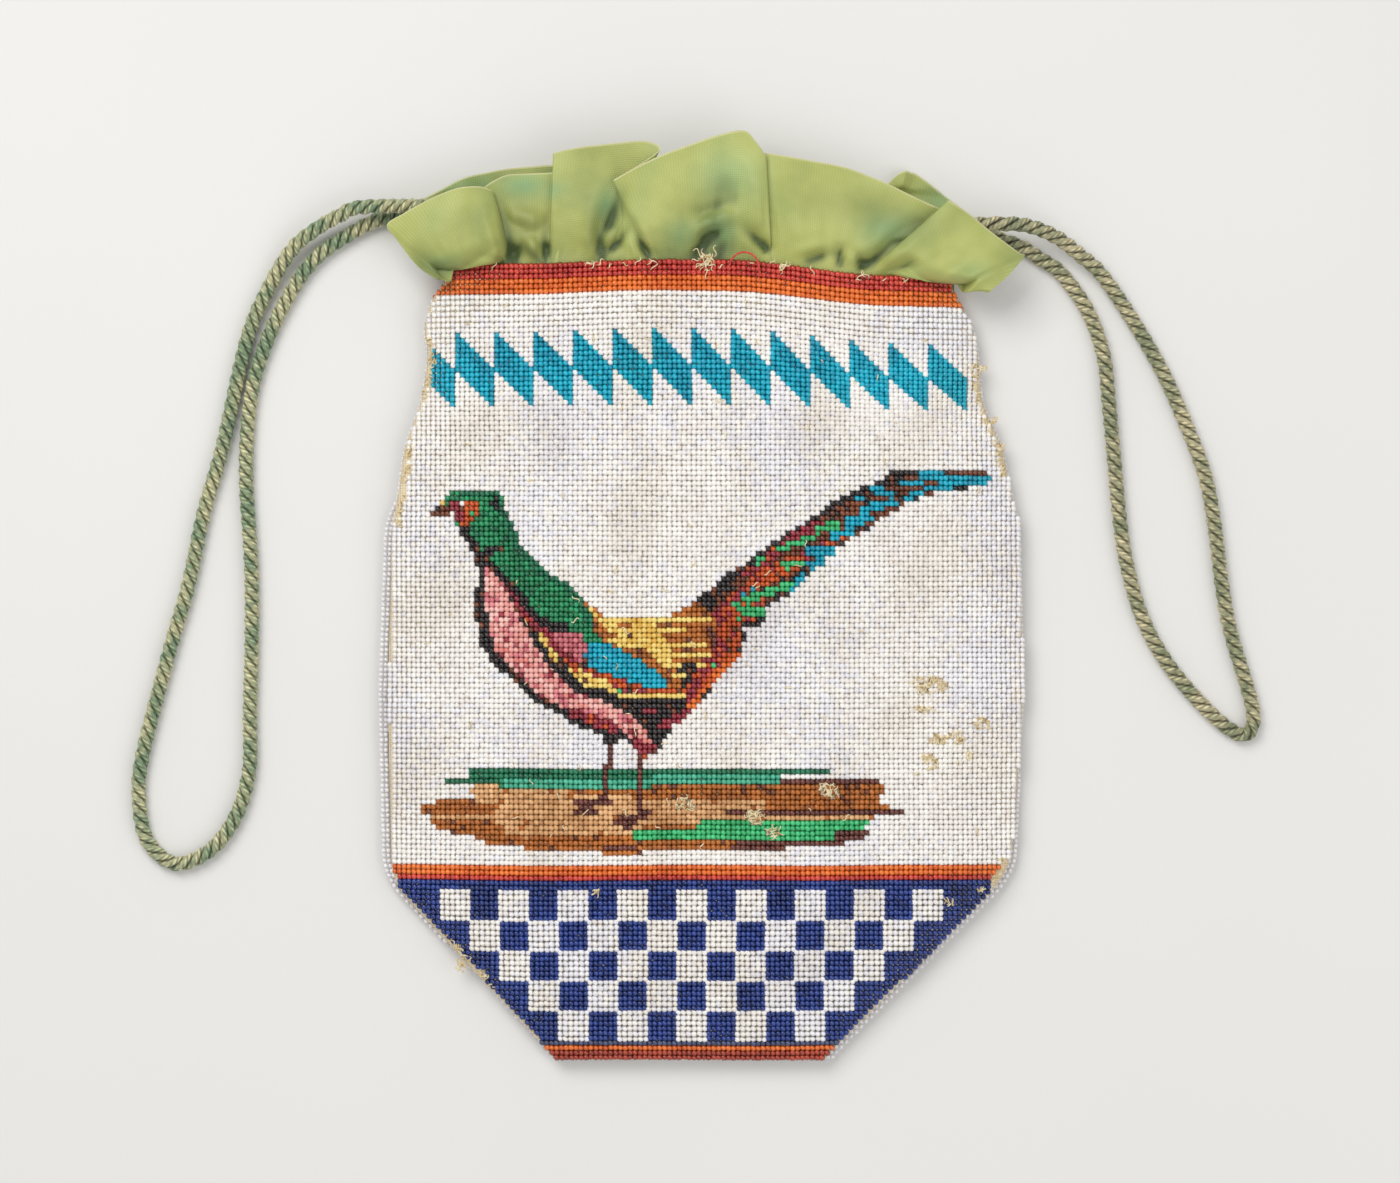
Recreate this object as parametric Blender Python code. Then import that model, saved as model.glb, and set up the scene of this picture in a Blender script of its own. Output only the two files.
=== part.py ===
"""A beaded drawstring bag, lying flat on its back with its mouth towards +Y and its front up.

Each side of the bag is one piece of beadwork on its own canvas. The two canvases meet at the side and
foot seams and leave a hollow between them. A gathered silk ruffle rises from inside the mouth, front
and back, and two looped cords run across between its layers and leave at the sides.

The origin is on the surface that the bag lies on, under the middle of its width and height.
Sizes are in millimetres unless a name says otherwise, and MM turns them into Blender's metres.
The beadwork's figures are charted in beads: columns to the right and rows up, from the origin.
"""

import math

import bpy
import numpy as np
from mathutils import Vector
from mathutils.geometry import delaunay_2d_cdt

MM = 0.001

# Cloths, from the outside in, and the clearance between neighbours
BEADWORK = 1.4
CANVAS = 0.8
SILK = 0.5
CLEARANCE = 0.3

# One bead's share of the beadwork
BEAD_ACROSS = 1.53
BEAD_UP = 1.57

# Furrows between rows of beads in front: one in so many is modelled, at its true width and depth
FURROW_TOP_ROW = 56
FURROW_FOOT_ROW = -48
FURROW_EVERY = 8
FURROW_HALF_ROWS = 0.5
FURROW_DEPTH = 0.9
FURROW_SHARES = (-0.93, -0.76, -0.5, 0.0, 0.5, 0.76, 0.93)
EDGE_OF_SHARE = 0.001

# The pouch: where its mouth and foot cross the middle, its plumpness, and how far its seams lift
MOUTH_Y = 104.2
FOOT_Y = -144.3
HOLLOW = 14.0
SEAM_LIFT = 2.5
FLAT_SHARE = 0.35
EDGE_SOFTNESS = 2.5
SIDE_SQUARENESS = 6
FOOT_SQUARENESS = 8

# Outline of the front from the foot up: y, left edge, right edge, and how far the back shows past each
OUTLINE = (
    (FOOT_Y, -45.2, 37.5, 0.8, 3.0),
    (-90.5, -95.0, 91.4, 2.0, 3.0),
    (-83.0, -96.6, 96.2, 3.4, 2.4),
    (-30.0, -97.6, 100.2, 3.5, 0.9),
    (22.0, -96.3, 99.0, 3.0, 0.8),
    (31.0, -94.6, 96.6, 1.2, 0.8),
    (46.0, -92.6, 93.8, 0.8, 0.8),
    (61.0, -87.2, 87.2, 0.8, 0.8),
    (76.0, -84.9, 86.0, 0.8, 0.8),
    (84.0, -86.6, 84.4, 0.8, 0.8),
    (91.0, -84.6, 80.6, 0.6, 0.8),
    (95.0, -82.6, 78.4, 0.6, 0.8),
    (99.0, -78.4, 76.4, 0.6, 0.8),
)
FOOT_LIP = 0.5

# How far the top rows fall away from the middle towards each side, over which shares of the half
# width, and between which heights the fall fades out
LEFT_FALL = 1.2
RIGHT_FALL = 4.8
FALL_SHARES = (0.1, 0.75)
FALL_FADE = (45.0, 85.0)

# Columns of the cloths' shared facets, as shares of the half width, closer together where they curve
COLUMNS = (-1.0, -0.96, -0.88, -0.76, -0.6, -0.32, 0.0, 0.32, 0.6, 0.76, 0.88, 0.96, 1.0)
ROW_STEP = 13.0

# Rows of beads in each coloured band, from the mouth down and from the foot up
RIM_RED_ROWS = 3
RIM_ORANGE_ROWS = 3
FOOT_MAROON_ROWS = 2
FOOT_ORANGE_ROWS = 1
FIELD_FOOT_Y = -82.0
BORDER_ORANGE_ROWS = 3
BORDER_RED_ROWS = 1

# Rows of the side seams where the beadwork has worn back to its canvas: lowest y, highest y, side
WORN_SEAMS = ((62.0, 84.0, "left"), (22.0, 46.0, "left"), (46.0, 62.0, "right"))

# The row of slanted blocks under the rim
BLOCK_COUNT = 13
BLOCK_COLUMNS = 8
BLOCK_ROWS = 7
FIRST_BLOCK_COLUMN = -50
BLOCK_TOP_ROW = 52
PART_BLOCK_COLUMNS = 3

# White squares on the blue foot of the front, in rows that lose one each time
SQUARE_BEADS = 6
SQUARE_STEP_ACROSS = 12
SQUARE_STEP_UP = 6
SQUARES_IN_ROWS = (9, 8, 7, 6, 5)
SQUARES_TOP_ROW = -57
SQUARES_MIDDLE_COLUMN = -2
SQUARE_PUFF = 0.7
SQUARE_SHOULDER = 0.22

# The standing bird, in beads, each shape over the ones before it
BIRD = (
    ("black", ((-50.5, 19), (-49.5, 12.5), (-46.5, 6.5), (-47, -0.5), (-45.5, -7.5), (-42, -14), (-35.5, -20.5),
               (-28.5, -24.5), (-20, -29.5), (-11, -32.5), (-4.5, -28), (1, -22.5), (5, -17), (8.5, -11.5),
               (8.5, -6), (-0.5, 0), (-10.5, -1.5), (-20, -7.5))),
    ("pink", ((-46.5, 9.5), (-40.5, 3), (-35.5, -1), (-33, -5), (-27.5, -5.5), (-23, -8), (-25.5, -16.5),
              (-20.5, -21.5), (-12.5, -25.5), (-9.5, -29.5), (-11.5, -31), (-18.5, -28), (-28.5, -22),
              (-35, -17.5), (-41, -11.5), (-43.5, -5.5), (-44.5, 3.5))),
    ("dark_green", ((-50.5, 21), (-43, 21), (-40.5, 19.5), (-40.5, 16), (-37.5, 11), (-32, 4), (-25, 0),
                    (-20, -8), (-23, -8.5), (-27.5, -5.5), (-33, -5), (-35.5, -1), (-40.5, 3), (-47, 9.5))),
    ("orange", ((-54.5, 16.5), (-52, 18), (-50.6, 18.5), (-50.8, 16))),
    ("brown", ((-20, -8), (-15.5, -3), (-8.5, -1), (-0.5, 0), (8, -7), (5, -12), (0.5, -18.5), (-3, -19),
               (-12, -13.5))),
    ("yellow", ((-13, -4.5), (-6.5, -4), (-6.5, -13.5), (-12.5, -13))),
    ("teal", ((-23, -8.5), (-20, -8.5), (-14.5, -11.5), (-7, -16), (-7, -17.5), (-12.5, -17.5), (-18, -15.5),
              (-23, -13))),
    ("pink", ((-29.5, -6.5), (-24, -6.5), (-23.2, -10.5), (-24.5, -13), (-28.5, -11))),
    ("yellow", ((-31.5, -10), (-27, -13.5), (-18, -17), (-3.5, -18.5), (-2.5, -20.5), (-17.5, -20), (-24, -18),
                (-28.5, -15))),
    ("red", ((5, -13), (-0.5, -18.5), (-5, -22.5), (-10, -26), (-9, -28), (-5, -25.5), (-0.5, -22), (4.5, -17))),
    ("black", ((-2.5, -1.5), (5, 4.5), (16.5, 12.5), (26, 19), (36, 23), (46.5, 25.5), (57, 25.5), (59, 24),
               (52.5, 21), (41.5, 19), (33.5, 14.5), (26, 9.5), (19.5, 2), (12.5, -4), (8, -7.5))),
    ("brown", ((2, -2), (10, 5.5), (20, 12), (30, 18), (40, 22), (53, 24), (41.5, 20.8), (32.5, 17), (24, 11),
               (17, 4), (10, -2))),
    ("black", ((-19, -29.5), (-17.5, -30), (-18.5, -40.5), (-20.5, -40.5))),
    ("black", ((-13, -32), (-11.2, -32.5), (-12, -42.5), (-14, -42.5))),
)
EYE_PATCH = (-48.0, 17.2, 2.4)
EYE_PATCH_SIDES = 10

# The ground under the bird, in beads
GROUND = (
    ("brown", ((-55, -37.5), (-51.5, -34), (26.4, -34), (27, -36.8), (37, -36.5), (37, -39.5), (41, -41.5),
               (41, -43), (32, -47), (16.5, -49.5), (-20, -49), (-54.5, -47), (-57, -42))),
    ("dark_green", ((-51.3, -34.2), (26, -34.2), (26.4, -36.6), (-12.5, -37.2), (-52, -37.2))),
    ("tan", ((-54.3, -38), (16, -37.7), (16.5, -41), (-12.5, -42.2), (-53, -45))),
    ("dark_green", ((-13.5, -44), (33, -43.8), (32, -46.6), (-12.5, -47))),
    ("black", ((-26.5, -39.5), (-19.5, -39), (-17.5, -41), (-19.5, -43), (-25.5, -42.5))),
    ("black", ((-18.2, -43.2), (-11.5, -42.3), (-10, -44.3), (-12.5, -46), (-18, -45))),
)

# The drawstrings lie between the ruffle's layers, one pair of strands over the other
CORD_DIAMETER = 5.0
STRAND_SPREAD = 4.5
LEFT_CORD_Y = 121.5
RIGHT_CORD_Y = 115.5
CASING_MARGIN = 0.5
CORD_STEP = 12.0
CORD_JOIN = 1.0
LEFT_CORD_START_X = -72.0
LEFT_CORD_TURN_X = 58.0
RIGHT_CORD_START_X = 72.0
RIGHT_CORD_TURN_X = -74.0
TURN_POINTS = 5
TURN_FINENESS = 4.0
CURVE_STEPS = 24

# Each cord's free loop, x and y as it lies, and its height where it isn't on the table
LEFT_LOOP_OUT = (
    (-105.2, 121.4, 9.6), (-112.7, 118.9, 7.9), (-120.5, 114.6, 6.2), (-128.2, 108.2, 4.4), (-136.2, 95.0),
    (-142.4, 79.7), (-149.9, 46.5), (-155.5, 27.0), (-160.7, 2.8), (-166.0, -15.5), (-174.7, -49.0),
    (-175.9, -63.2), (-173.4, -76.0), (-164.8, -83.4), (-153.9, -79.4), (-145.9, -69.1), (-141.5, -54.6),
    (-141.2, -36.9), (-140.6, -8.7), (-140.9, 11.5), (-142.4, 36.9), (-141.5, 58.0), (-138.2, 73.8),
    (-131.0, 90.6), (-121.4, 105.2), (-108.4, 114.4), (-98.0, 118.6, 3.2),
)
RIGHT_LOOP_OUT = (
    (95.0, 116.0, 12.6), (102.8, 115.2, 11.0), (110.8, 112.0, 8.8), (118.2, 106.7, 6.0), (125.0, 100.8, 3.6),
    (134.5, 87.1), (144.0, 70.7), (151.4, 54.2), (157.6, 37.5), (160.7, 20.5), (162.9, 2.8), (165.7, -11.8),
    (172.4, -35.0), (170.7, -42.8), (164.9, -41.2), (156.1, -33.2), (145.9, -21.1), (138.4, -7.8), (133.8, 6.8),
    (131.0, 22.6), (127.6, 58.6), (125.6, 76.0), (120.4, 90.0), (112.3, 101.3), (106.0, 105.6), (97.5, 110.4, 3.0),
)

# The ruffle's free edge in front, from left to right: x, y, and how many folds it lies over the casing
FRONT_EDGE = (
    (-97.2, 119.3, 0.1), (-87.3, 124.3, 0.7), (-76.4, 129.3, 1.0), (-68.7, 127.4, 1.0), (-65.7, 126.0, 0.55),
    (-70.1, 126.0, 0.1), (-62.5, 128.0, 0.0), (-51.3, 132.4, 0.0), (-45.1, 134.8, 0.1), (-49.8, 136.1, 0.6),
    (-46.0, 138.3, 1.0), (-34.6, 140.7, 1.1), (-21.5, 141.4, 1.0), (-14.1, 139.5, 1.3), (-19.1, 134.8, 1.75),
    (-26.2, 129.3, 2.1), (-19.1, 133.6, 2.5), (-11.3, 138.6, 2.5), (1.1, 141.7, 2.5), (12.6, 144.8, 2.4),
    (18.8, 138.6, 1.9), (14.4, 136.7, 1.4), (24.3, 136.1, 1.1), (39.8, 134.8, 1.3), (55.3, 128.0, 1.1),
    (72.3, 122.8, 0.8), (67.1, 121.9, 0.4), (75.5, 122.1, 0.1), (87.9, 115.3, 0.3), (98.7, 106.0, 0.0),
)
# The same behind, where a fold's height is a share of RIPPLE
BACK_EDGE = (
    (-88.8, 126.2, 0.0), (-76.4, 131.8, 0.8), (-65.6, 134.5, 0.1), (-43.9, 135.5, 0.9), (-19.1, 134.2, 0.1),
    (5.7, 135.5, 0.7), (30.5, 133.6, 0.1), (49.1, 129.9, 0.8), (60.9, 133.9, 0.1), (73.9, 126.8, 0.9),
    (87.9, 118.4, 0.0),
)
FOLD = 2.3
RIPPLE = 3.5
PUCKER = 0.9
PUCKER_WIDTH = 9.0
RUFFLE_TUCK = 4.0
RUFFLE_LEAVE = 1.0
RUFFLE_FOOT_SHARE = 0.92
RUFFLE_ROWS = 9
POINTS_PER_FOLD = 2
FLARE = 0.8
FOLD_START = 1.25

SHARP_DEGREES = 50

# Base colours, as linear values, with each surface's roughness
FINISHES = {
    "white": ((0.80, 0.76, 0.70), 0.35),
    "back_white": ((0.74, 0.74, 0.72), 0.35),
    "navy": ((0.025, 0.045, 0.17), 0.3),
    "teal": ((0.02, 0.36, 0.46), 0.3),
    "orange": ((0.62, 0.12, 0.02), 0.3),
    "red": ((0.38, 0.03, 0.04), 0.3),
    "pink": ((0.60, 0.18, 0.17), 0.3),
    "black": ((0.03, 0.02, 0.02), 0.3),
    "brown": ((0.30, 0.09, 0.03), 0.3),
    "yellow": ((0.70, 0.50, 0.10), 0.3),
    "dark_green": ((0.02, 0.20, 0.09), 0.3),
    "tan": ((0.45, 0.22, 0.09), 0.35),
    "canvas": ((0.66, 0.44, 0.20), 0.95),
    "silk": ((0.30, 0.37, 0.12), 0.55),
    "cord": ((0.34, 0.35, 0.15), 0.7),
}

OUTLINE_Y, LEFT_X, RIGHT_X, LEFT_LIP, RIGHT_LIP = np.array(OUTLINE).T

# Heights in the middle of the pouch, from the table up
BACK_CANVAS_LOW = BEADWORK + CLEARANCE
BACK_CANVAS_TOP = BACK_CANVAS_LOW + CANVAS
FRONT_CANVAS_LOW_AT_SEAM = BACK_CANVAS_TOP + SEAM_LIFT + CLEARANCE
CANVAS_TO_BEADWORK = CANVAS + CLEARANCE

# Heights in the casing: the back silk lies on the table, with the two layers of strands over it
BACK_SILK = CASING_MARGIN + SILK / 2
LOW_STRAND = BACK_SILK + SILK / 2 + CLEARANCE + CORD_DIAMETER / 2
HIGH_STRAND = LOW_STRAND + CORD_DIAMETER + STRAND_SPREAD
FRONT_SILK = HIGH_STRAND + CORD_DIAMETER / 2 + CLEARANCE + SILK / 2
CASING_LOW_Y = RIGHT_CORD_Y - CORD_DIAMETER / 2 - CASING_MARGIN


def clear_scene() -> None:
    """Remove every object that the scene starts with."""
    for thing in list(bpy.data.objects):
        bpy.data.objects.remove(thing, do_unlink=True)


def finish(name: str) -> bpy.types.Material:
    """Return the named finish's material, made on first use."""
    if name in bpy.data.materials:
        return bpy.data.materials[name]
    colour, roughness = FINISHES[name]
    material = bpy.data.materials.new(name)
    material.use_nodes = True
    shader = material.node_tree.nodes["Principled BSDF"]
    shader.inputs["Base Color"].default_value = (*colour, 1.0)
    shader.inputs["Roughness"].default_value = roughness
    shader.inputs["Metallic"].default_value = 0.0
    return material


def ease(share):
    """Go smoothly from 0 to 1 as the share does."""
    share = np.clip(share, 0.0, 1.0)
    return share * share * (3 - 2 * share)


def softened(y, values):
    """Read an outline column at y, with its corners rounded over EDGE_SOFTNESS."""
    offsets = np.linspace(-EDGE_SOFTNESS, EDGE_SOFTNESS, 5)
    return sum(np.interp(y + offset, OUTLINE_Y, values) for offset in offsets) / len(offsets)


def across(x, y):
    """Give x as a share of the half width at y, from -1 at the left seam to 1 at the right."""
    left = softened(y, LEFT_X)
    right = softened(y, RIGHT_X)
    return (2 * x - left - right) / (right - left)


def along(share, y):
    """Give the x that lies at this share of the half width at y."""
    left = softened(y, LEFT_X)
    right = softened(y, RIGHT_X)
    return (left + right + share * (right - left)) / 2


def row_fall(share, y):
    """Say how far a row of beads that crosses the middle at y has fallen at this share of the width."""
    near, far = FALL_SHARES
    at_rim = np.where(np.asarray(share) < 0, LEFT_FALL, RIGHT_FALL) * ease((np.abs(share) - near) / (far - near))
    lowest, highest = FALL_FADE
    return at_rim * ease((y - lowest) / (highest - lowest))


def mouth_at(share):
    """Give the y of the mouth's edge at this share of the width."""
    return MOUTH_Y - row_fall(np.atleast_1d(share), MOUTH_Y)


def plumpness(share, y):
    """Say how full the pouch is at a share of the half width, from 0 at the seams to 1 in the middle."""
    footward = np.clip((MOUTH_Y - y) / (MOUTH_Y - FOOT_Y), 0, 1)
    return (1 - np.abs(share) ** SIDE_SQUARENESS) * (1 - footward**FOOT_SQUARENESS)


def back_height(share, y):
    """Height of the back beadwork's underside: flat on the table, and curling up to the seams."""
    emptiness = 1 - plumpness(share, y)
    return SEAM_LIFT * ease((emptiness - FLAT_SHARE) / (1 - FLAT_SHARE))


def front_height(share, y):
    """Height of the front canvas's underside, domed over the hollow."""
    dome = HOLLOW - SEAM_LIFT - CLEARANCE
    return FRONT_CANVAS_LOW_AT_SEAM + dome * plumpness(share, y)


def on_facets(height, x, y):
    """Read a height where its straight facets lie, between the two columns on either side of x."""
    columns = np.array(COLUMNS)
    share = np.clip(across(x, y), -1, 1)
    before = np.clip(np.searchsorted(columns, share, side="right") - 1, 0, len(columns) - 2)
    low, high = columns[before], columns[before + 1]
    mix = (share - low) / (high - low)
    return height(low, y) * (1 - mix) + height(high, y) * mix


def back_rise(x, y):
    """Height of the back beadwork's underside over a point."""
    return on_facets(back_height, x, y)


def front_rise(x, y):
    """Height of the front canvas's underside over a point."""
    return on_facets(front_height, x, y)


def band_rows():
    """Middle y of each line between bands, from the mouth down."""
    orange = MOUTH_Y - RIM_RED_ROWS * BEAD_UP
    field = orange - RIM_ORANGE_ROWS * BEAD_UP
    border_red = FIELD_FOOT_Y - BORDER_ORANGE_ROWS * BEAD_UP
    blue = border_red - BORDER_RED_ROWS * BEAD_UP
    foot_maroon = FOOT_Y + FOOT_MAROON_ROWS * BEAD_UP
    foot_orange = foot_maroon + FOOT_ORANGE_ROWS * BEAD_UP
    return {
        "orange": orange,
        "field": field,
        "border": FIELD_FOOT_Y,
        "border_red": border_red,
        "blue": blue,
        "foot_orange": foot_orange,
        "foot_maroon": foot_maroon,
    }


def facet_rows():
    """Middle y of every row of the shared facets: the bands' lines, and even steps between far ones."""
    lines = [MOUTH_Y, *band_rows().values(), FOOT_Y]
    rows = []
    for upper, lower in zip(lines, lines[1:]):
        steps = max(1, round((upper - lower) / ROW_STEP))
        rows.extend(upper + (lower - upper) * step / steps for step in range(steps))
    return np.array(rows + [FOOT_Y])


def facet_points():
    """Return the shared facets' corners as grids of x and y, one row for each facet row."""
    shares = np.array(COLUMNS)
    y = np.array([middle - row_fall(shares, middle) for middle in facet_rows()])
    x = np.array([[along(share, at) for share, at in zip(shares, row)] for row in y])
    return x, y


def cell_loop(cells):
    """Walk the outside of a block of grid cells and return its corners as (row, column) pairs."""
    sides = set()
    for row, column in zip(*(index.tolist() for index in np.nonzero(cells))):
        corners = [(row, column), (row + 1, column), (row + 1, column + 1), (row, column + 1)]
        sides.update(zip(corners, corners[1:] + corners[:1]))
    steps = {start: end for start, end in sides if (end, start) not in sides}
    loop = [min(steps)]
    while steps[loop[-1]] != loop[0]:
        loop.append(steps[loop[-1]])
    return loop


def grid_faces(cells, corner):
    """Split each cell of a grid into two triangles that face down, with the vertex that corner gives."""
    faces = []
    for row, column in zip(*np.nonzero(cells)):
        a, b = corner(row, column), corner(row + 1, column)
        c, d = corner(row + 1, column + 1), corner(row, column + 1)
        faces.append((a, c, b))
        faces.append((a, d, c))
    return faces


def add_object(name, vertices, faces, slots, slot_of_face=None):
    """Make a mesh object from points in millimetres, shaded smooth except over sharp edges."""
    mesh = bpy.data.meshes.new(name)
    mesh.from_pydata([tuple(float(value) * MM for value in point) for point in vertices], [], faces)
    for slot in slots:
        mesh.materials.append(finish(slot))
    if slot_of_face is not None:
        mesh.polygons.foreach_set("material_index", slot_of_face)
    mesh.shade_smooth()
    mesh.set_sharp_from_angle(angle=math.radians(SHARP_DEGREES))
    thing = bpy.data.objects.new(name, mesh)
    bpy.context.scene.collection.objects.link(thing)
    return thing


def cloth_solid(name, x, y, cells, low, thickness, slots, slot_of_cell):
    """Build one cloth as a closed solid over grid cells, from the height function low up to its thickness."""
    columns = x.shape[1]
    count = x.size
    base = low(x, y)
    lower = np.stack([x, y, base], axis=-1).reshape(-1, 3)
    upper = np.stack([x, y, base + thickness], axis=-1).reshape(-1, 3)
    under = grid_faces(cells, lambda row, column: row * columns + column)
    over = [tuple(count + index for index in reversed(face)) for face in under]
    loop = [row * columns + column for row, column in cell_loop(cells)]
    sides = [(a, b, count + b, count + a) for a, b in zip(loop, loop[1:] + loop[:1])]
    cell_slots = [slot_of_cell(row, column) for row, column in zip(*np.nonzero(cells)) for _ in range(2)]
    slot_of_face = cell_slots + cell_slots + [0] * len(sides)
    vertices, faces = used_points(np.vstack([lower, upper]), under + over + sides)
    return add_object(name, vertices, faces, slots, slot_of_face)


def used_points(points, faces):
    """Drop the points that no face uses and renumber the faces."""
    used = sorted({index for face in faces for index in face})
    place = {index: order for order, index in enumerate(used)}
    return [points[index] for index in used], [tuple(place[index] for index in face) for face in faces]


def inside(point, polygon):
    """Say whether a point lies inside a polygon, by counting the sides that it is left of."""
    x, y = point
    crossed = False
    for (x1, y1), (x2, y2) in zip(polygon, polygon[1:] + polygon[:1]):
        if (y1 > y) != (y2 > y) and x < x1 + (y - y1) * (x2 - x1) / (y2 - y1):
            crossed = not crossed
    return crossed


def charted(column, row):
    """Place a point of the bead chart on the front, where its row has fallen towards the sides."""
    x = column * BEAD_ACROSS
    y = row * BEAD_UP
    return x, y - float(row_fall(np.array([across(x, y)]), y)[0])


def slanted_blocks():
    """List the row of slanted blocks as bead polygons, with the part of one at the left seam."""
    polygons = []
    for index in range(BLOCK_COUNT):
        left = FIRST_BLOCK_COLUMN + index * BLOCK_COLUMNS
        right = left + BLOCK_COLUMNS
        top = BLOCK_TOP_ROW
        polygons.append(
            ((left, top), (left, top - BLOCK_ROWS), (right, top - 2 * BLOCK_ROWS), (right, top - BLOCK_ROWS))
        )
    share = PART_BLOCK_COLUMNS / BLOCK_COLUMNS
    left = FIRST_BLOCK_COLUMN - PART_BLOCK_COLUMNS
    fall = BLOCK_ROWS * (1 - share)
    polygons.append((
        (left, BLOCK_TOP_ROW - fall),
        (left, BLOCK_TOP_ROW - fall - BLOCK_ROWS),
        (FIRST_BLOCK_COLUMN, BLOCK_TOP_ROW - 2 * BLOCK_ROWS),
        (FIRST_BLOCK_COLUMN, BLOCK_TOP_ROW - BLOCK_ROWS),
    ))
    return polygons


def squares():
    """List the white squares of the blue foot as bead polygons."""
    polygons = []
    for order, count in enumerate(SQUARES_IN_ROWS):
        top = SQUARES_TOP_ROW - order * SQUARE_STEP_UP
        first = SQUARES_MIDDLE_COLUMN - (count - 1) / 2 * SQUARE_STEP_ACROSS - SQUARE_BEADS / 2
        for index in range(count):
            left = first + index * SQUARE_STEP_ACROSS
            right = left + SQUARE_BEADS
            bottom = top - SQUARE_BEADS
            polygons.append(((left, bottom), (right, bottom), (right, top), (left, top)))
    return polygons


def shrunk(polygon, share):
    """Draw a polygon's corners in towards their mean by this share."""
    middle = np.mean(polygon, axis=0)
    return tuple(tuple(point + (middle - point) * share) for point in np.array(polygon))


def eye_patch():
    """Return the ring of bead points round the bird's eye."""
    column, row, radius = EYE_PATCH
    turns = [2 * math.pi * step / EYE_PATCH_SIDES for step in range(EYE_PATCH_SIDES)]
    return tuple((column + radius * math.cos(turn), row + radius * math.sin(turn)) for turn in turns)


def coloured_shapes():
    """List every figure on the front as (colour, polygon in millimetres), the later over the earlier."""
    shapes = [("teal", polygon) for polygon in slanted_blocks()]
    shapes += [("white", polygon) for polygon in squares()]
    shapes += [*GROUND, *BIRD, ("red", eye_patch())]
    return [(colour, [charted(*point) for point in polygon]) for colour, polygon in shapes]


def band_colour(x, y):
    """Name the colour of the front's band at a point."""
    middle = y + float(row_fall(np.array([across(x, y)]), y)[0])
    lines = band_rows()
    if middle > lines["orange"]:
        return "red"
    if middle > lines["field"]:
        return "orange"
    if middle > lines["border"]:
        return "white"
    if middle > lines["border_red"]:
        return "orange"
    if middle > lines["blue"]:
        return "red"
    if middle > lines["foot_orange"]:
        return "navy"
    return "orange" if middle > lines["foot_maroon"] else "red"


def middle_row(x, y):
    """Say which row of the bead chart passes through a point, as it is counted in the middle."""
    share = np.array([across(x, y)])
    middle = y
    for _ in range(2):
        middle = y + float(row_fall(share, middle)[0])
    return middle / BEAD_UP


def furrow_rows():
    """List the rows of the bead chart that a modelled furrow runs along, from the top down."""
    return range(FURROW_TOP_ROW, FURROW_FOOT_ROW - 1, -FURROW_EVERY)


def furrow_lines():
    """List each furrow's lower side, bottom and upper side as lines of points in millimetres."""
    shares = np.array(FURROW_SHARES)
    lines = []
    for row in furrow_rows():
        for offset in (-FURROW_HALF_ROWS, 0, FURROW_HALF_ROWS):
            middle = (row + offset) * BEAD_UP
            y = middle - row_fall(shares, middle)
            lines.append([(float(along(share, at)), float(at)) for share, at in zip(shares, y)])
    return lines


def furrow_depth(x, y):
    """Say how deep the beadwork dips at a point: deepest along a furrow's bottom, and not at its ends."""
    row = middle_row(x, y)
    away = min(abs(row - line) for line in furrow_rows())
    between_ends = abs(across(x, y)) < FURROW_SHARES[-1] - EDGE_OF_SHARE
    return FURROW_DEPTH * max(0.0, 1 - away / FURROW_HALF_ROWS) if between_ends else 0.0


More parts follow.
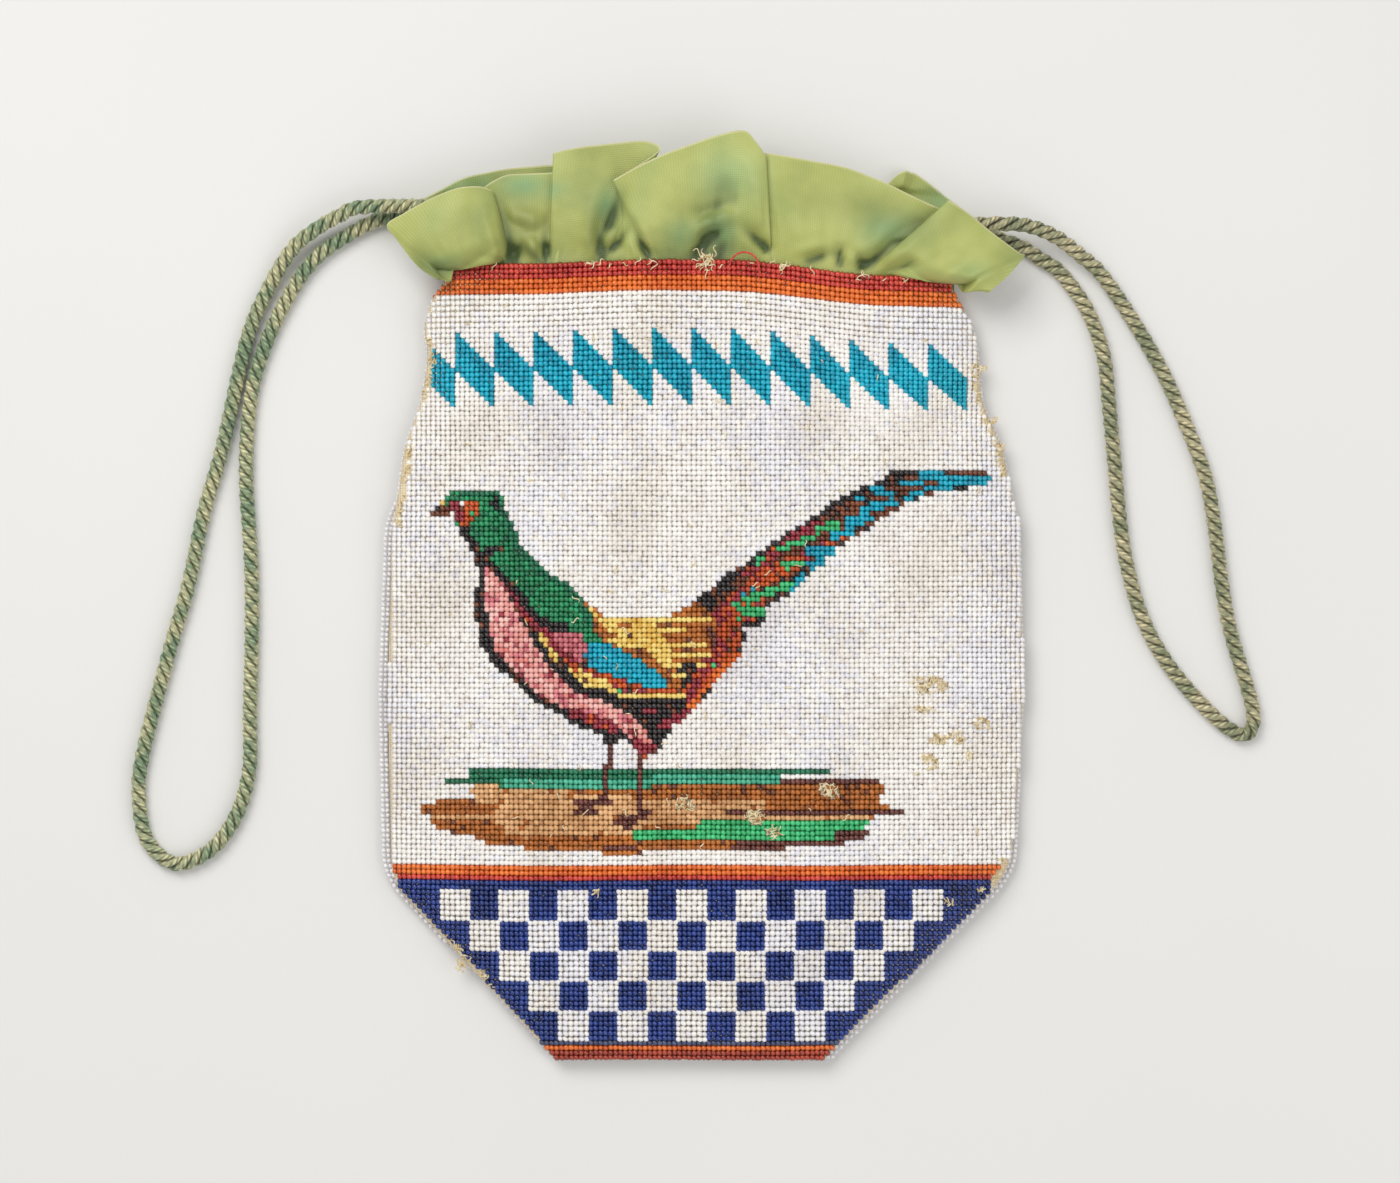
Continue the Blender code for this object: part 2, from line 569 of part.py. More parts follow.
def make_front_beadwork(x, y, cells):
    """The front beadwork: coarse facets below, and above them facets that follow shapes and furrows."""
    columns = x.shape[1]
    loop = cell_loop(cells)
    shapes = coloured_shapes()
    puffs = [[charted(*point) for point in shrunk(polygon, SQUARE_SHOULDER)] for polygon in squares()]

    points = [Vector((x[row, column], y[row, column])) for row, column in loop]
    edges = [(index, (index + 1) % len(loop)) for index in range(len(loop))]
    rim = {corner: index for index, corner in enumerate(loop)}
    band_lines = [int(np.argmin(np.abs(facet_rows() - line))) for line in band_rows().values()]
    held = dict(rim)
    for row in range(x.shape[0]):
        for column in range(columns):
            near_figure = FIELD_FOOT_Y < y[row, column] < MOUTH_Y and row not in band_lines
            if (row, column) in held or not on_cells(cells, row, column):
                continue
            if near_figure and close_to_shape((x[row, column], y[row, column]), shapes):
                continue
            held[(row, column)] = len(points)
            points.append(Vector((x[row, column], y[row, column])))
    for row in band_lines:
        for column in range(columns - 1):
            if (row, column) in held and (row, column + 1) in held:
                edges.append((held[(row, column)], held[(row, column + 1)]))
    for polygon in [polygon for _, polygon in shapes] + puffs:
        start = len(points)
        points.extend(Vector(point) for point in polygon)
        edges.extend((start + step, start + (step + 1) % len(polygon)) for step in range(len(polygon)))
    for line in furrow_lines():
        start = len(points)
        points.extend(Vector(point) for point in line)
        edges.extend((start + step, start + step + 1) for step in range(len(line) - 1))

    flat, _, triangles, origins, _, _ = delaunay_2d_cdt(points, edges, [], 0, 1e-4, True)
    outline = [(float(x[corner]), float(y[corner])) for corner in loop]
    rim_at = {}
    for index, origin in enumerate(origins):
        for source in origin:
            if source < len(loop):
                rim_at[source] = index

    def raised(point):
        top = float(front_rise(point[0], point[1])) + CANVAS_TO_BEADWORK + BEADWORK
        puffed = any(inside(point, puff) or touches(point, puff) for puff in puffs)
        return (point[0], point[1], top + (SQUARE_PUFF if puffed else 0.0) - furrow_depth(*point))

    upper = [raised(point) for point in flat]
    over = []
    colours = []
    rim_sides = {(rim_at[order], rim_at[(order + 1) % len(loop)]) for order in range(len(loop))}
    for triangle in triangles:
        middle = sum((flat[index] for index in triangle), Vector((0, 0))) / 3
        backward = any((b, a) in rim_sides for a, b in zip(triangle, triangle[1:] + triangle[:1]))
        if backward or not inside(middle, outline):
            continue
        over.append(tuple(triangle))
        colour = band_colour(*middle)
        for name, polygon in shapes:
            if inside(middle, polygon):
                colour = name
        colours.append(colour)

    start = len(upper)
    base = front_rise(x, y) + CANVAS_TO_BEADWORK
    lower = [tuple(point) for point in np.stack([x, y, base], axis=-1).reshape(-1, 3)]
    under = grid_faces(cells, lambda row, column: start + row * columns + column)
    sides = []
    for order, corner in enumerate(loop):
        after = (order + 1) % len(loop)
        low_a = start + corner[0] * columns + corner[1]
        low_b = start + loop[after][0] * columns + loop[after][1]
        sides.append((low_a, low_b, rim_at[after], rim_at[order]))
    slots = sorted(set(colours) | {"white"})
    slot_of_face = [slots.index(colour) for colour in colours] + [slots.index("white")] * (len(under) + len(sides))
    vertices, faces = used_points(upper + lower, over + under + sides)
    return add_object("front_beadwork", vertices, faces, slots, slot_of_face)


def on_cells(cells, row, column):
    """Say whether a grid corner touches one of the cells."""
    near = cells[max(row - 1, 0):row + 1, max(column - 1, 0):column + 1]
    return bool(near.any())


def touches(point, polygon):
    """Say whether a point is one of a polygon's corners."""
    return any(math.dist(point, corner) < CLEARANCE / 10 for corner in polygon)


def close_to_shape(point, shapes):
    """Say whether a point is nearer to a shape's side than a bead's width."""
    spot = Vector(point)
    for _, polygon in shapes:
        for start, end in zip(polygon, polygon[1:] + polygon[:1]):
            a, b = Vector(start), Vector(end)
            share = max(0.0, min(1.0, (spot - a).dot(b - a) / max((b - a).length_squared, 1e-9)))
            if (a.lerp(b, share) - spot).length < BEAD_ACROSS:
                return True
    return False


def front_cells(rows, columns):
    """Mark the grid cells that the front beadwork covers: all but the worn ones at its side seams."""
    cells = np.ones((rows - 1, columns - 1), bool)
    middles = facet_rows()
    for row in range(rows - 1):
        middle = (middles[row] + middles[row + 1]) / 2
        for low, high, side in WORN_SEAMS:
            if low < middle < high:
                cells[row, 0 if side == "left" else -1] = False
    return cells


def make_canvases(x, y):
    """The two canvases, each one cloth over the whole panel, edge to edge at the seams."""
    cells = np.ones((x.shape[0] - 1, x.shape[1] - 1), bool)

    def back_low(at_x, at_y):
        return back_rise(at_x, at_y) + BACK_CANVAS_LOW

    cloth_solid("back_canvas", x, y, cells, back_low, CANVAS, ["canvas"], lambda row, column: 0)
    cloth_solid("front_canvas", x, y, cells, front_rise, CANVAS, ["canvas"], lambda row, column: 0)


def make_back_beadwork(x, y):
    """The back beadwork: white under the same red and orange rim, and wider than the front by its lips."""
    left = np.array([[row_x[0] - softened(row_y[0], LEFT_LIP)] for row_x, row_y in zip(x, y)])
    right = np.array([[row_x[-1] + softened(row_y[-1], RIGHT_LIP)] for row_x, row_y in zip(x, y)])
    wide_x = np.hstack([left, x, right])
    wide_y = np.hstack([y[:, :1], y, y[:, -1:]])
    wide_x = np.vstack([wide_x, wide_x[-1:]])
    wide_y = np.vstack([wide_y, wide_y[-1:] - FOOT_LIP])
    cells = np.ones((wide_x.shape[0] - 1, wide_x.shape[1] - 1), bool)
    middles = facet_rows()
    lines = band_rows()
    slots = ["back_white", "red", "orange"]

    def slot_of_cell(row, column):
        middle = (middles[min(row, len(middles) - 2)] + middles[min(row + 1, len(middles) - 1)]) / 2
        if middle > lines["orange"]:
            return 1
        return 2 if middle > lines["field"] else 0

    cloth_solid("back_beadwork", wide_x, wide_y, cells, back_rise, BEADWORK, slots, slot_of_cell)


def smooth_curve(points, steps):
    """Read a Catmull-Rom curve through the points, with this many steps between each two."""
    padded = np.vstack([2 * points[0] - points[1], points, 2 * points[-1] - points[-2]])
    a, b, c, d = padded[:-3, None], padded[1:-2, None], padded[2:-1, None], padded[3:, None]
    t = (np.arange(steps) / steps)[None, :, None]
    curve = 0.5 * (2 * b + (c - a) * t + (2 * a - 5 * b + 4 * c - d) * t**2 + (3 * b - a - 3 * c + d) * t**3)
    return np.vstack([curve.reshape(-1, points.shape[1]), points[-1:]])


def thick_sheet(name, sheet, thickness, slot):
    """Give a grid of points a thickness, half to each side, and close its edges."""
    down = np.gradient(sheet, axis=0)
    over = np.gradient(sheet, axis=1)
    normal = np.cross(down, over)
    normal /= np.linalg.norm(normal, axis=-1, keepdims=True)
    normal *= thickness / 2
    rows, columns = sheet.shape[:2]
    count = rows * columns
    sides = np.vstack([(sheet - normal).reshape(-1, 3), (sheet + normal).reshape(-1, 3)])
    cells = np.ones((rows - 1, columns - 1), bool)
    first = grid_faces(cells, lambda row, column: row * columns + column)
    second = [tuple(count + index for index in reversed(face)) for face in first]
    loop = [row * columns + column for row, column in cell_loop(cells)]
    rim = [(a, b, count + b, count + a) for a, b in zip(loop, loop[1:] + loop[:1])]
    return add_object(name, sides, first + second + rim, [slot])


def ruffle_sheet(edge, foot_height, casing_height, fold, pucker):
    """Loft a gathered silk from its foot inside the mouth to its free edge.

    Each column keeps its place along the foot until it is past the mouth, and then runs out to its
    point on the free edge, rising by its fold. Small puckers fill the gathers between.
    """
    free = smooth_curve(np.array(edge, float), POINTS_PER_FOLD)
    shares = np.linspace(-RUFFLE_FOOT_SHARE, RUFFLE_FOOT_SHARE, len(free))
    mouth = mouth_at(shares)
    rows = []
    for y in (mouth - RUFFLE_TUCK, mouth + RUFFLE_LEAVE):
        x = np.array([along(share, at) for share, at in zip(shares, y)])
        rows.append(np.stack([x, y, foot_height(x, y)], axis=-1))
    leave_x, leave_y, leave_z = rows[-1].T
    wave = (1 - np.cos(2 * math.pi * leave_x / PUCKER_WIDTH)) / 2
    for out in np.linspace(0, 1, RUFFLE_ROWS)[1:]:
        y = leave_y + (free[:, 1] - leave_y) * out
        x = leave_x + (free[:, 0] - leave_x) * out**FLARE
        settled = ease((y - leave_y) / (CASING_LOW_Y - leave_y))
        z = leave_z + (casing_height - leave_z) * settled
        z = z + fold * free[:, 2] * ease(out * FOLD_START) + pucker * wave * math.sin(math.pi * out)
        rows.append(np.stack([x, y, z], axis=-1))
    return np.array(rows)


def make_ruffles():
    """The silk ruffle's two layers, front and back, each tucked inside the canvas at the mouth."""

    def front_foot(x, y):
        return front_rise(x, y) - CLEARANCE - SILK / 2

    def back_foot(x, y):
        return back_rise(x, y) + BACK_CANVAS_TOP + CLEARANCE + SILK / 2

    front = ruffle_sheet(FRONT_EDGE, front_foot, FRONT_SILK, FOLD, PUCKER)
    back = ruffle_sheet(BACK_EDGE, back_foot, BACK_SILK, 0.0, 0.0)
    past_cords = back[:, :, 1] - (LEFT_CORD_Y + CORD_DIAMETER)
    beyond = np.where(past_cords > 0, ease(past_cords / np.maximum(past_cords[-1], CORD_DIAMETER)), 0.0)
    folds = smooth_curve(np.array(BACK_EDGE, float), POINTS_PER_FOLD)[:, 2]
    back[:, :, 2] += RIPPLE * folds.clip(0, 1) * beyond
    thick_sheet("front_ruffle", front, SILK, "silk")
    thick_sheet("back_ruffle", back, SILK, "silk")


def cord_route(start_x, turn_x, y, loop):
    """List a cord's own points from the join in the casing, round its loop and back through the casing."""
    outward = math.copysign(1.0, start_x)
    radius = (HIGH_STRAND - LOW_STRAND) / 2
    middle = (HIGH_STRAND + LOW_STRAND) / 2
    exit_x = along(outward, y - CORD_DIAMETER)
    lying = [(*point, CORD_DIAMETER / 2) if len(point) == 2 else point for point in loop]
    turn = []
    for step in range(TURN_POINTS):
        angle = math.pi * step / (TURN_POINTS - 1)
        turn.append((turn_x - outward * radius * math.sin(angle), y, middle - radius * math.cos(angle)))
    spans = np.linspace(0, 1, 5)[1:-1]
    low_run = [(exit_x + (turn_x - exit_x) * span, y, LOW_STRAND) for span in spans]
    high_run = [(turn_x + (start_x - turn_x) * span, y, HIGH_STRAND) for span in spans]
    end_x = start_x - outward * CORD_JOIN
    return np.array([
        (start_x, y, HIGH_STRAND),
        (exit_x, y, HIGH_STRAND),
        *lying,
        (exit_x, y, LOW_STRAND),
        *low_run,
        *turn,
        *high_run,
        (end_x, y, HIGH_STRAND),
    ])


def evenly_read(points, spacing, fine_from_x, fine_side):
    """Read points off a smooth curve at even distances, and closer ones round the casing's turn."""
    curve = smooth_curve(points, CURVE_STEPS)
    lengths = np.r_[0, np.cumsum(np.linalg.norm(np.diff(curve, axis=0), axis=1))]
    inner = (curve[:, 0] - fine_from_x) * fine_side > 0
    weight = np.where(inner[1:], TURN_FINENESS, 1.0) * np.diff(lengths)
    paced = np.r_[0, np.cumsum(weight)]
    count = round(paced[-1] / spacing)
    marks = np.linspace(0, paced[-1], count + 1)
    route = np.stack([np.interp(marks, paced, curve[:, axis]) for axis in range(3)], axis=-1)
    route[:, 2] = np.maximum(route[:, 2], CORD_DIAMETER / 2)
    return route


def make_cord(name, start_x, turn_x, y, loop):
    """One drawcord as a tube of even thickness along its whole route."""
    outward = math.copysign(1.0, start_x)
    points = evenly_read(cord_route(start_x, turn_x, y, loop), CORD_STEP, turn_x, -outward)
    curve = bpy.data.curves.new(name, "CURVE")
    curve.dimensions = "3D"
    spline = curve.splines.new("POLY")
    spline.points.add(len(points) - 1)
    for place, point in zip(spline.points, points):
        place.co = (*(float(value) * MM for value in point), 1.0)
    curve.bevel_depth = CORD_DIAMETER / 2 * MM
    curve.bevel_resolution = 2
    curve.use_fill_caps = True
    curve.materials.append(finish("cord"))
    thing = bpy.data.objects.new(name, curve)
    bpy.context.scene.collection.objects.link(thing)


def main() -> None:
    """Build the bag, from its back up."""
    clear_scene()
    x, y = facet_points()
    make_back_beadwork(x, y)
    make_canvases(x, y)
    make_front_beadwork(x, y, front_cells(*x.shape))
    make_ruffles()
    make_cord("left_cord", LEFT_CORD_START_X, LEFT_CORD_TURN_X, LEFT_CORD_Y, LEFT_LOOP_OUT)
    make_cord("right_cord", RIGHT_CORD_START_X, RIGHT_CORD_TURN_X, RIGHT_CORD_Y, RIGHT_LOOP_OUT)


main()
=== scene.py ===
"""Looks of a beaded drawstring bag that lies on its back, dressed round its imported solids.

Both sides of the bag are glass seed beads sewn bead by bead on linen canvas. The front's figures are
drawn as simple shapes on a chart that is counted in beads, and each bead takes the colour of the last
shape that covers it. A gathered silk ruffle and two twisted silk drawcords finish the mouth.

Sizes are in millimetres and hold until a mesh is written, where MM turns them into metres.
"""

import logging
import math
from collections.abc import Callable
from dataclasses import dataclass, replace
from enum import Enum

import bpy
import numpy as np
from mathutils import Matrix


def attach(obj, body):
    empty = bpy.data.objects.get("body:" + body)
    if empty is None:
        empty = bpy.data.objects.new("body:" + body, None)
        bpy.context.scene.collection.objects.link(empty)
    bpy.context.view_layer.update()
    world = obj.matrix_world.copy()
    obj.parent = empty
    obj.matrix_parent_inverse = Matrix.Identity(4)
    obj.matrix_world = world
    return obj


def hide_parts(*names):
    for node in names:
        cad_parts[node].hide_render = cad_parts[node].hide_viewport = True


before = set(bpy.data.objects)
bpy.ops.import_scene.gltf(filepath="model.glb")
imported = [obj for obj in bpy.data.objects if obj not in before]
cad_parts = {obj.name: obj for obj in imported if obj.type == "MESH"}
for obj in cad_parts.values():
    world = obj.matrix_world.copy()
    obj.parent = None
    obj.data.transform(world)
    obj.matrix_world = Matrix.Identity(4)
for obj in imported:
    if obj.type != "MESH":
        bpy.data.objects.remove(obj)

logging.basicConfig(level=logging.INFO, format="%(message)s")
LOG = logging.getLogger("beaded_bag")

MM = 0.001
BODY = "root"
Points = np.ndarray
LEFT, RIGHT = -1, 1

# A direction that no thread or stitch runs along, from which their rings are turned
SLANTING = (0.31, 0.17, 0.93)

# Size of the patches in which one batch of glass differs from the next
BATCH_PATCH = 30.0


# Small tools


def linear(colour: str) -> tuple[float, float, float, float]:
    """Turn an sRGB hex colour into linear red, green, blue and a full alpha.

    Args:
        colour: six hex digits, such as "EDE6DF".

    Returns:
        Each channel c as c / 12.92 below 0.04045 and ((c + 0.055) / 1.055) ** 2.4 above it.
    """
    channels = np.array([int(colour[place:place + 2], 16) for place in (0, 2, 4)]) / 255
    straight = channels / 12.92
    curved = ((channels + 0.055) / 1.055) ** 2.4
    return (*np.where(channels <= 0.04045, straight, curved).tolist(), 1.0)


def ease(share: Points) -> Points:
    """Go smoothly from 0 to 1 as the share does: three squares less two cubes."""
    share = np.clip(share, 0.0, 1.0)
    return share * share * (3 - 2 * share)


def blotches(x: Points, y: Points, size: float, seed: int) -> Points:
    """Read soft cloudy patches over the plane, from about -1 to 1.

    The value is the mean of eight sine waves with random directions, and wave lengths near the size.

    Args:
        x: places across.
        y: places up, of the same shape.
        size: mean wave length in millimetres.
        seed: number that settles the waves.

    Returns:
        The value at each place.
    """
    draw = np.random.default_rng(seed)
    total = np.zeros_like(np.asarray(x, float))
    for _ in range(8):
        angle, phase = draw.uniform(0, 2 * math.pi, 2)
        wave = size * draw.uniform(0.6, 1.6)
        total = total + np.sin((x * math.cos(angle) + y * math.sin(angle)) * 2 * math.pi / wave + phase)
    return total / 4


def unit(vectors: Points) -> Points:
    """Bring vectors along the last axis to length 1."""
    return vectors / np.maximum(np.linalg.norm(vectors, axis=-1, keepdims=True), 1e-9)


def smooth_curve(points: Points, steps: int) -> Points:
    """Read a Catmull-Rom curve through the points, with this many steps between each two.

    Args:
        points: one row for each point on the curve.
        steps: readings from one point to the next.

    Returns:
        The readings, one row each, ending on the last point.
    """
    padded = np.concatenate([2 * points[:1] - points[1:2], points, 2 * points[-1:] - points[-2:-1]])
    a, b, c, d = padded[:-3, None], padded[1:-2, None], padded[2:-1, None], padded[3:, None]
    t = (np.arange(steps) / steps).reshape(1, steps, *[1] * (points.ndim - 1))
    bend = (2 * a - 5 * b + 4 * c - d) * t**2
    twist = (3 * b - a - 3 * c + d) * t**3
    curve = 0.5 * (2 * b + (c - a) * t + bend + twist)
    return np.concatenate([curve.reshape(-1, *points.shape[1:]), points[-1:]])


def way_gone(points: Points) -> Points:
    """Give the distance along a line of points, from 0 at its first."""
    return np.concatenate([[0], np.cumsum(np.linalg.norm(np.diff(points, axis=0), axis=1))])


def read_along(points: Points, gone: Points, marks: Points) -> Points:
    """Read a line of points, whose distances along it are gone, at the distances marked."""
    return np.stack([np.interp(marks, gone, values) for values in points.T], axis=-1)


def oval(x: Points, y: Points, spot: tuple[float, ...]) -> Points:
    """Read a soft oval patch at each place.

    With across and up the distances from its middle, each over its reach, the value is the strength
    times exp(-across squared - up squared).

    Args:
        x: places across.
        y: places up.
        spot: the middle's x and y, the reach across and up, and the strength.

    Returns:
        The value at each place.
    """
    at_x, at_y, reach_x, reach_y, strength = spot
    return strength * np.exp(-(((x - at_x) / reach_x) ** 2) - ((y - at_y) / reach_y) ** 2)


def write_mesh(name: str, points: Points, corners: Points, totals: Points) -> bpy.types.Object:
    """Make a smooth-shaded mesh object from flat lists of face corners.

    Args:
        name: the piece's name.
        points: one row of x, y and z in millimetres for each vertex.
        corners: the vertex of every face corner, face after face.
        totals: how many corners each face has.

    Returns:
        The object, linked to the scene, with its place in its mesh.
    """
    mesh = bpy.data.meshes.new(name)
    mesh.vertices.add(len(points))
    mesh.vertices.foreach_set("co", (np.asarray(points, np.float32) * MM).ravel())
    mesh.loops.add(len(corners))
    mesh.loops.foreach_set("vertex_index", np.asarray(corners, np.int32))
    mesh.polygons.add(len(totals))
    starts = np.concatenate([[0], np.cumsum(totals)[:-1]])
    mesh.polygons.foreach_set("loop_start", np.asarray(starts, np.int32))
    mesh.update(calc_edges=True)
    mesh.shade_smooth()
    thing = bpy.data.objects.new(name, mesh)
    bpy.context.scene.collection.objects.link(thing)
    return thing


def grid_corners(rows: int, columns: int, wrap: bool = False, flip: bool = False) -> Points:
    """List the four corners of every cell of a grid of points, row after row.

    Args:
        rows: points down the grid.
        columns: points across it.
        wrap: whether the last column joins the first.
        flip: whether the faces turn the other way.

    Returns:
        One row of four vertex numbers for each cell.
    """
    across = columns if wrap else columns - 1
    row, column = np.meshgrid(np.arange(rows - 1), np.arange(across), indexing="ij")
    after = (column + 1) % columns
    here, below = row * columns, (row + 1) * columns
    corners = np.stack([here + column, here + after, below + after, below + column], axis=-1).reshape(-1, 4)
    return corners[:, ::-1] if flip else corners


def edge_loop(rows: int, columns: int) -> Points:
    """Walk once round the outside of a grid of points and list their numbers."""
    top = np.arange(columns)
    right = np.arange(1, rows) * columns + columns - 1
    bottom = (rows - 1) * columns + np.arange(columns - 2, -1, -1)
    left = np.arange(rows - 2, 0, -1) * columns
    return np.concatenate([top, right, bottom, left])


def cloth_mesh(name: str, middle: Points, thickness: float) -> bpy.types.Object:
    """Give a grid of points a thickness, half to each side along its normal, and close its edges.

    Args:
        name: the piece's name.
        middle: grid of points on the cloth's middle surface, rows by columns by 3.
        thickness: the cloth's thickness in millimetres.

    Returns:
        The closed cloth as an object.
    """
    rows, columns = middle.shape[:2]
    normal = unit(np.cross(np.gradient(middle, axis=1), np.gradient(middle, axis=0)))
    normal *= np.where(normal[..., 2].mean() < 0, -1.0, 1.0)
    half = normal * thickness / 2
    points = np.concatenate([(middle + half).reshape(-1, 3), (middle - half).reshape(-1, 3)])
    turned = np.cross(middle[0, 1] - middle[0, 0], middle[1, 0] - middle[0, 0]) @ normal[0, 0] < 0
    over = grid_corners(rows, columns, flip=turned)
    under = over[:, ::-1] + rows * columns
    loop = edge_loop(rows, columns)
    after = np.roll(loop, -1)
    rim = np.stack([after, loop, loop + rows * columns, after + rows * columns], axis=-1)
    rim = rim[:, ::-1] if turned else rim
    faces = np.concatenate([over, under, rim])
    return write_mesh(name, points, faces.ravel(), np.full(len(faces), 4))


def store_colour(thing: bpy.types.Object, name: str, colours: Points) -> None:
    """Keep one linear colour for each vertex under this name."""
    layer = thing.data.color_attributes.new(name=name, type="FLOAT_COLOR", domain="POINT")
    filled = np.concatenate([colours, np.ones((len(colours), 1))], axis=1)
    layer.data.foreach_set("color", filled.astype(np.float32).ravel())


def store_value(thing: bpy.types.Object, name: str, values: Points) -> None:
    """Keep one number for each vertex under this name."""
    layer = thing.data.attributes.new(name=name, type="FLOAT", domain="POINT")
    layer.data.foreach_set("value", np.asarray(values, np.float32).ravel())


def store_uv(thing: bpy.types.Object, name: str, uv: Points) -> None:
    """Keep each vertex's two surface coordinates as a UV map under this name."""
    layer = thing.data.uv_layers.new(name=name)
    vertex = np.zeros(len(thing.data.loops), np.int32)
    thing.data.loops.foreach_get("vertex_index", vertex)
    layer.data.foreach_set("uv", np.asarray(uv, np.float32)[vertex].ravel())


def ring_points(middle: Points, first: Points, second: Points, radius: float, sides: int) -> Points:
    """Set a ring of points round each middle, on the first and second directions.

    Args:
        middle: the rings' middles, in any grid, by 3.
        first: the direction of each ring's first point.
        second: the direction across it.
        radius: the rings' radius.
        sides: points on each ring.

    Returns:
        The points, with one more axis before the last.
    """
    turn = np.arange(sides) * 2 * math.pi / sides
    ring = first[..., None, :] * np.cos(turn)[:, None] + second[..., None, :] * np.sin(turn)[:, None]
    return middle[..., None, :] + ring * radius


def tube_faces(count: int, length: int, sides: int) -> tuple[Points, Points]:
    """List the faces of equal tubes made of rings, with both ends closed.

    Args:
        count: how many tubes.
        length: rings along each.
        sides: points on each ring.

    Returns:
        The flat list of face corners, and how many corners each face has.
    """
    wall = grid_corners(length, sides, wrap=True, flip=True)
    around = np.arange(sides)
    tube = np.concatenate([wall.ravel(), around, (length - 1) * sides + around[::-1]])
    starts = (np.arange(count) * length * sides)[:, None]
    totals = np.tile(np.concatenate([np.full(len(wall), 4), [sides, sides]]), count)
    return (tube[None] + starts).ravel(), totals


def tubes(paths: Points, radius: float, sides: int) -> tuple[Points, Points, Points]:
    """Carry a circle along many paths of equally many points.

    A ring lies in the plane across its path, on the two directions that the slanting vector gives.

    Args:
        paths: number of tubes by points along each by 3.
        radius: the tubes' radius.
        sides: corners of each ring.

    Returns:
        Vertices, face corners and corner totals, ready for write_mesh.
    """
    heading = unit(np.gradient(paths, axis=1))
    first = unit(np.cross(heading, np.array(SLANTING)))
    points = ring_points(paths, first, np.cross(heading, first), radius, sides)
    return points.reshape(-1, 3), *tube_faces(*paths.shape[:2], sides)


# The pouch's shape


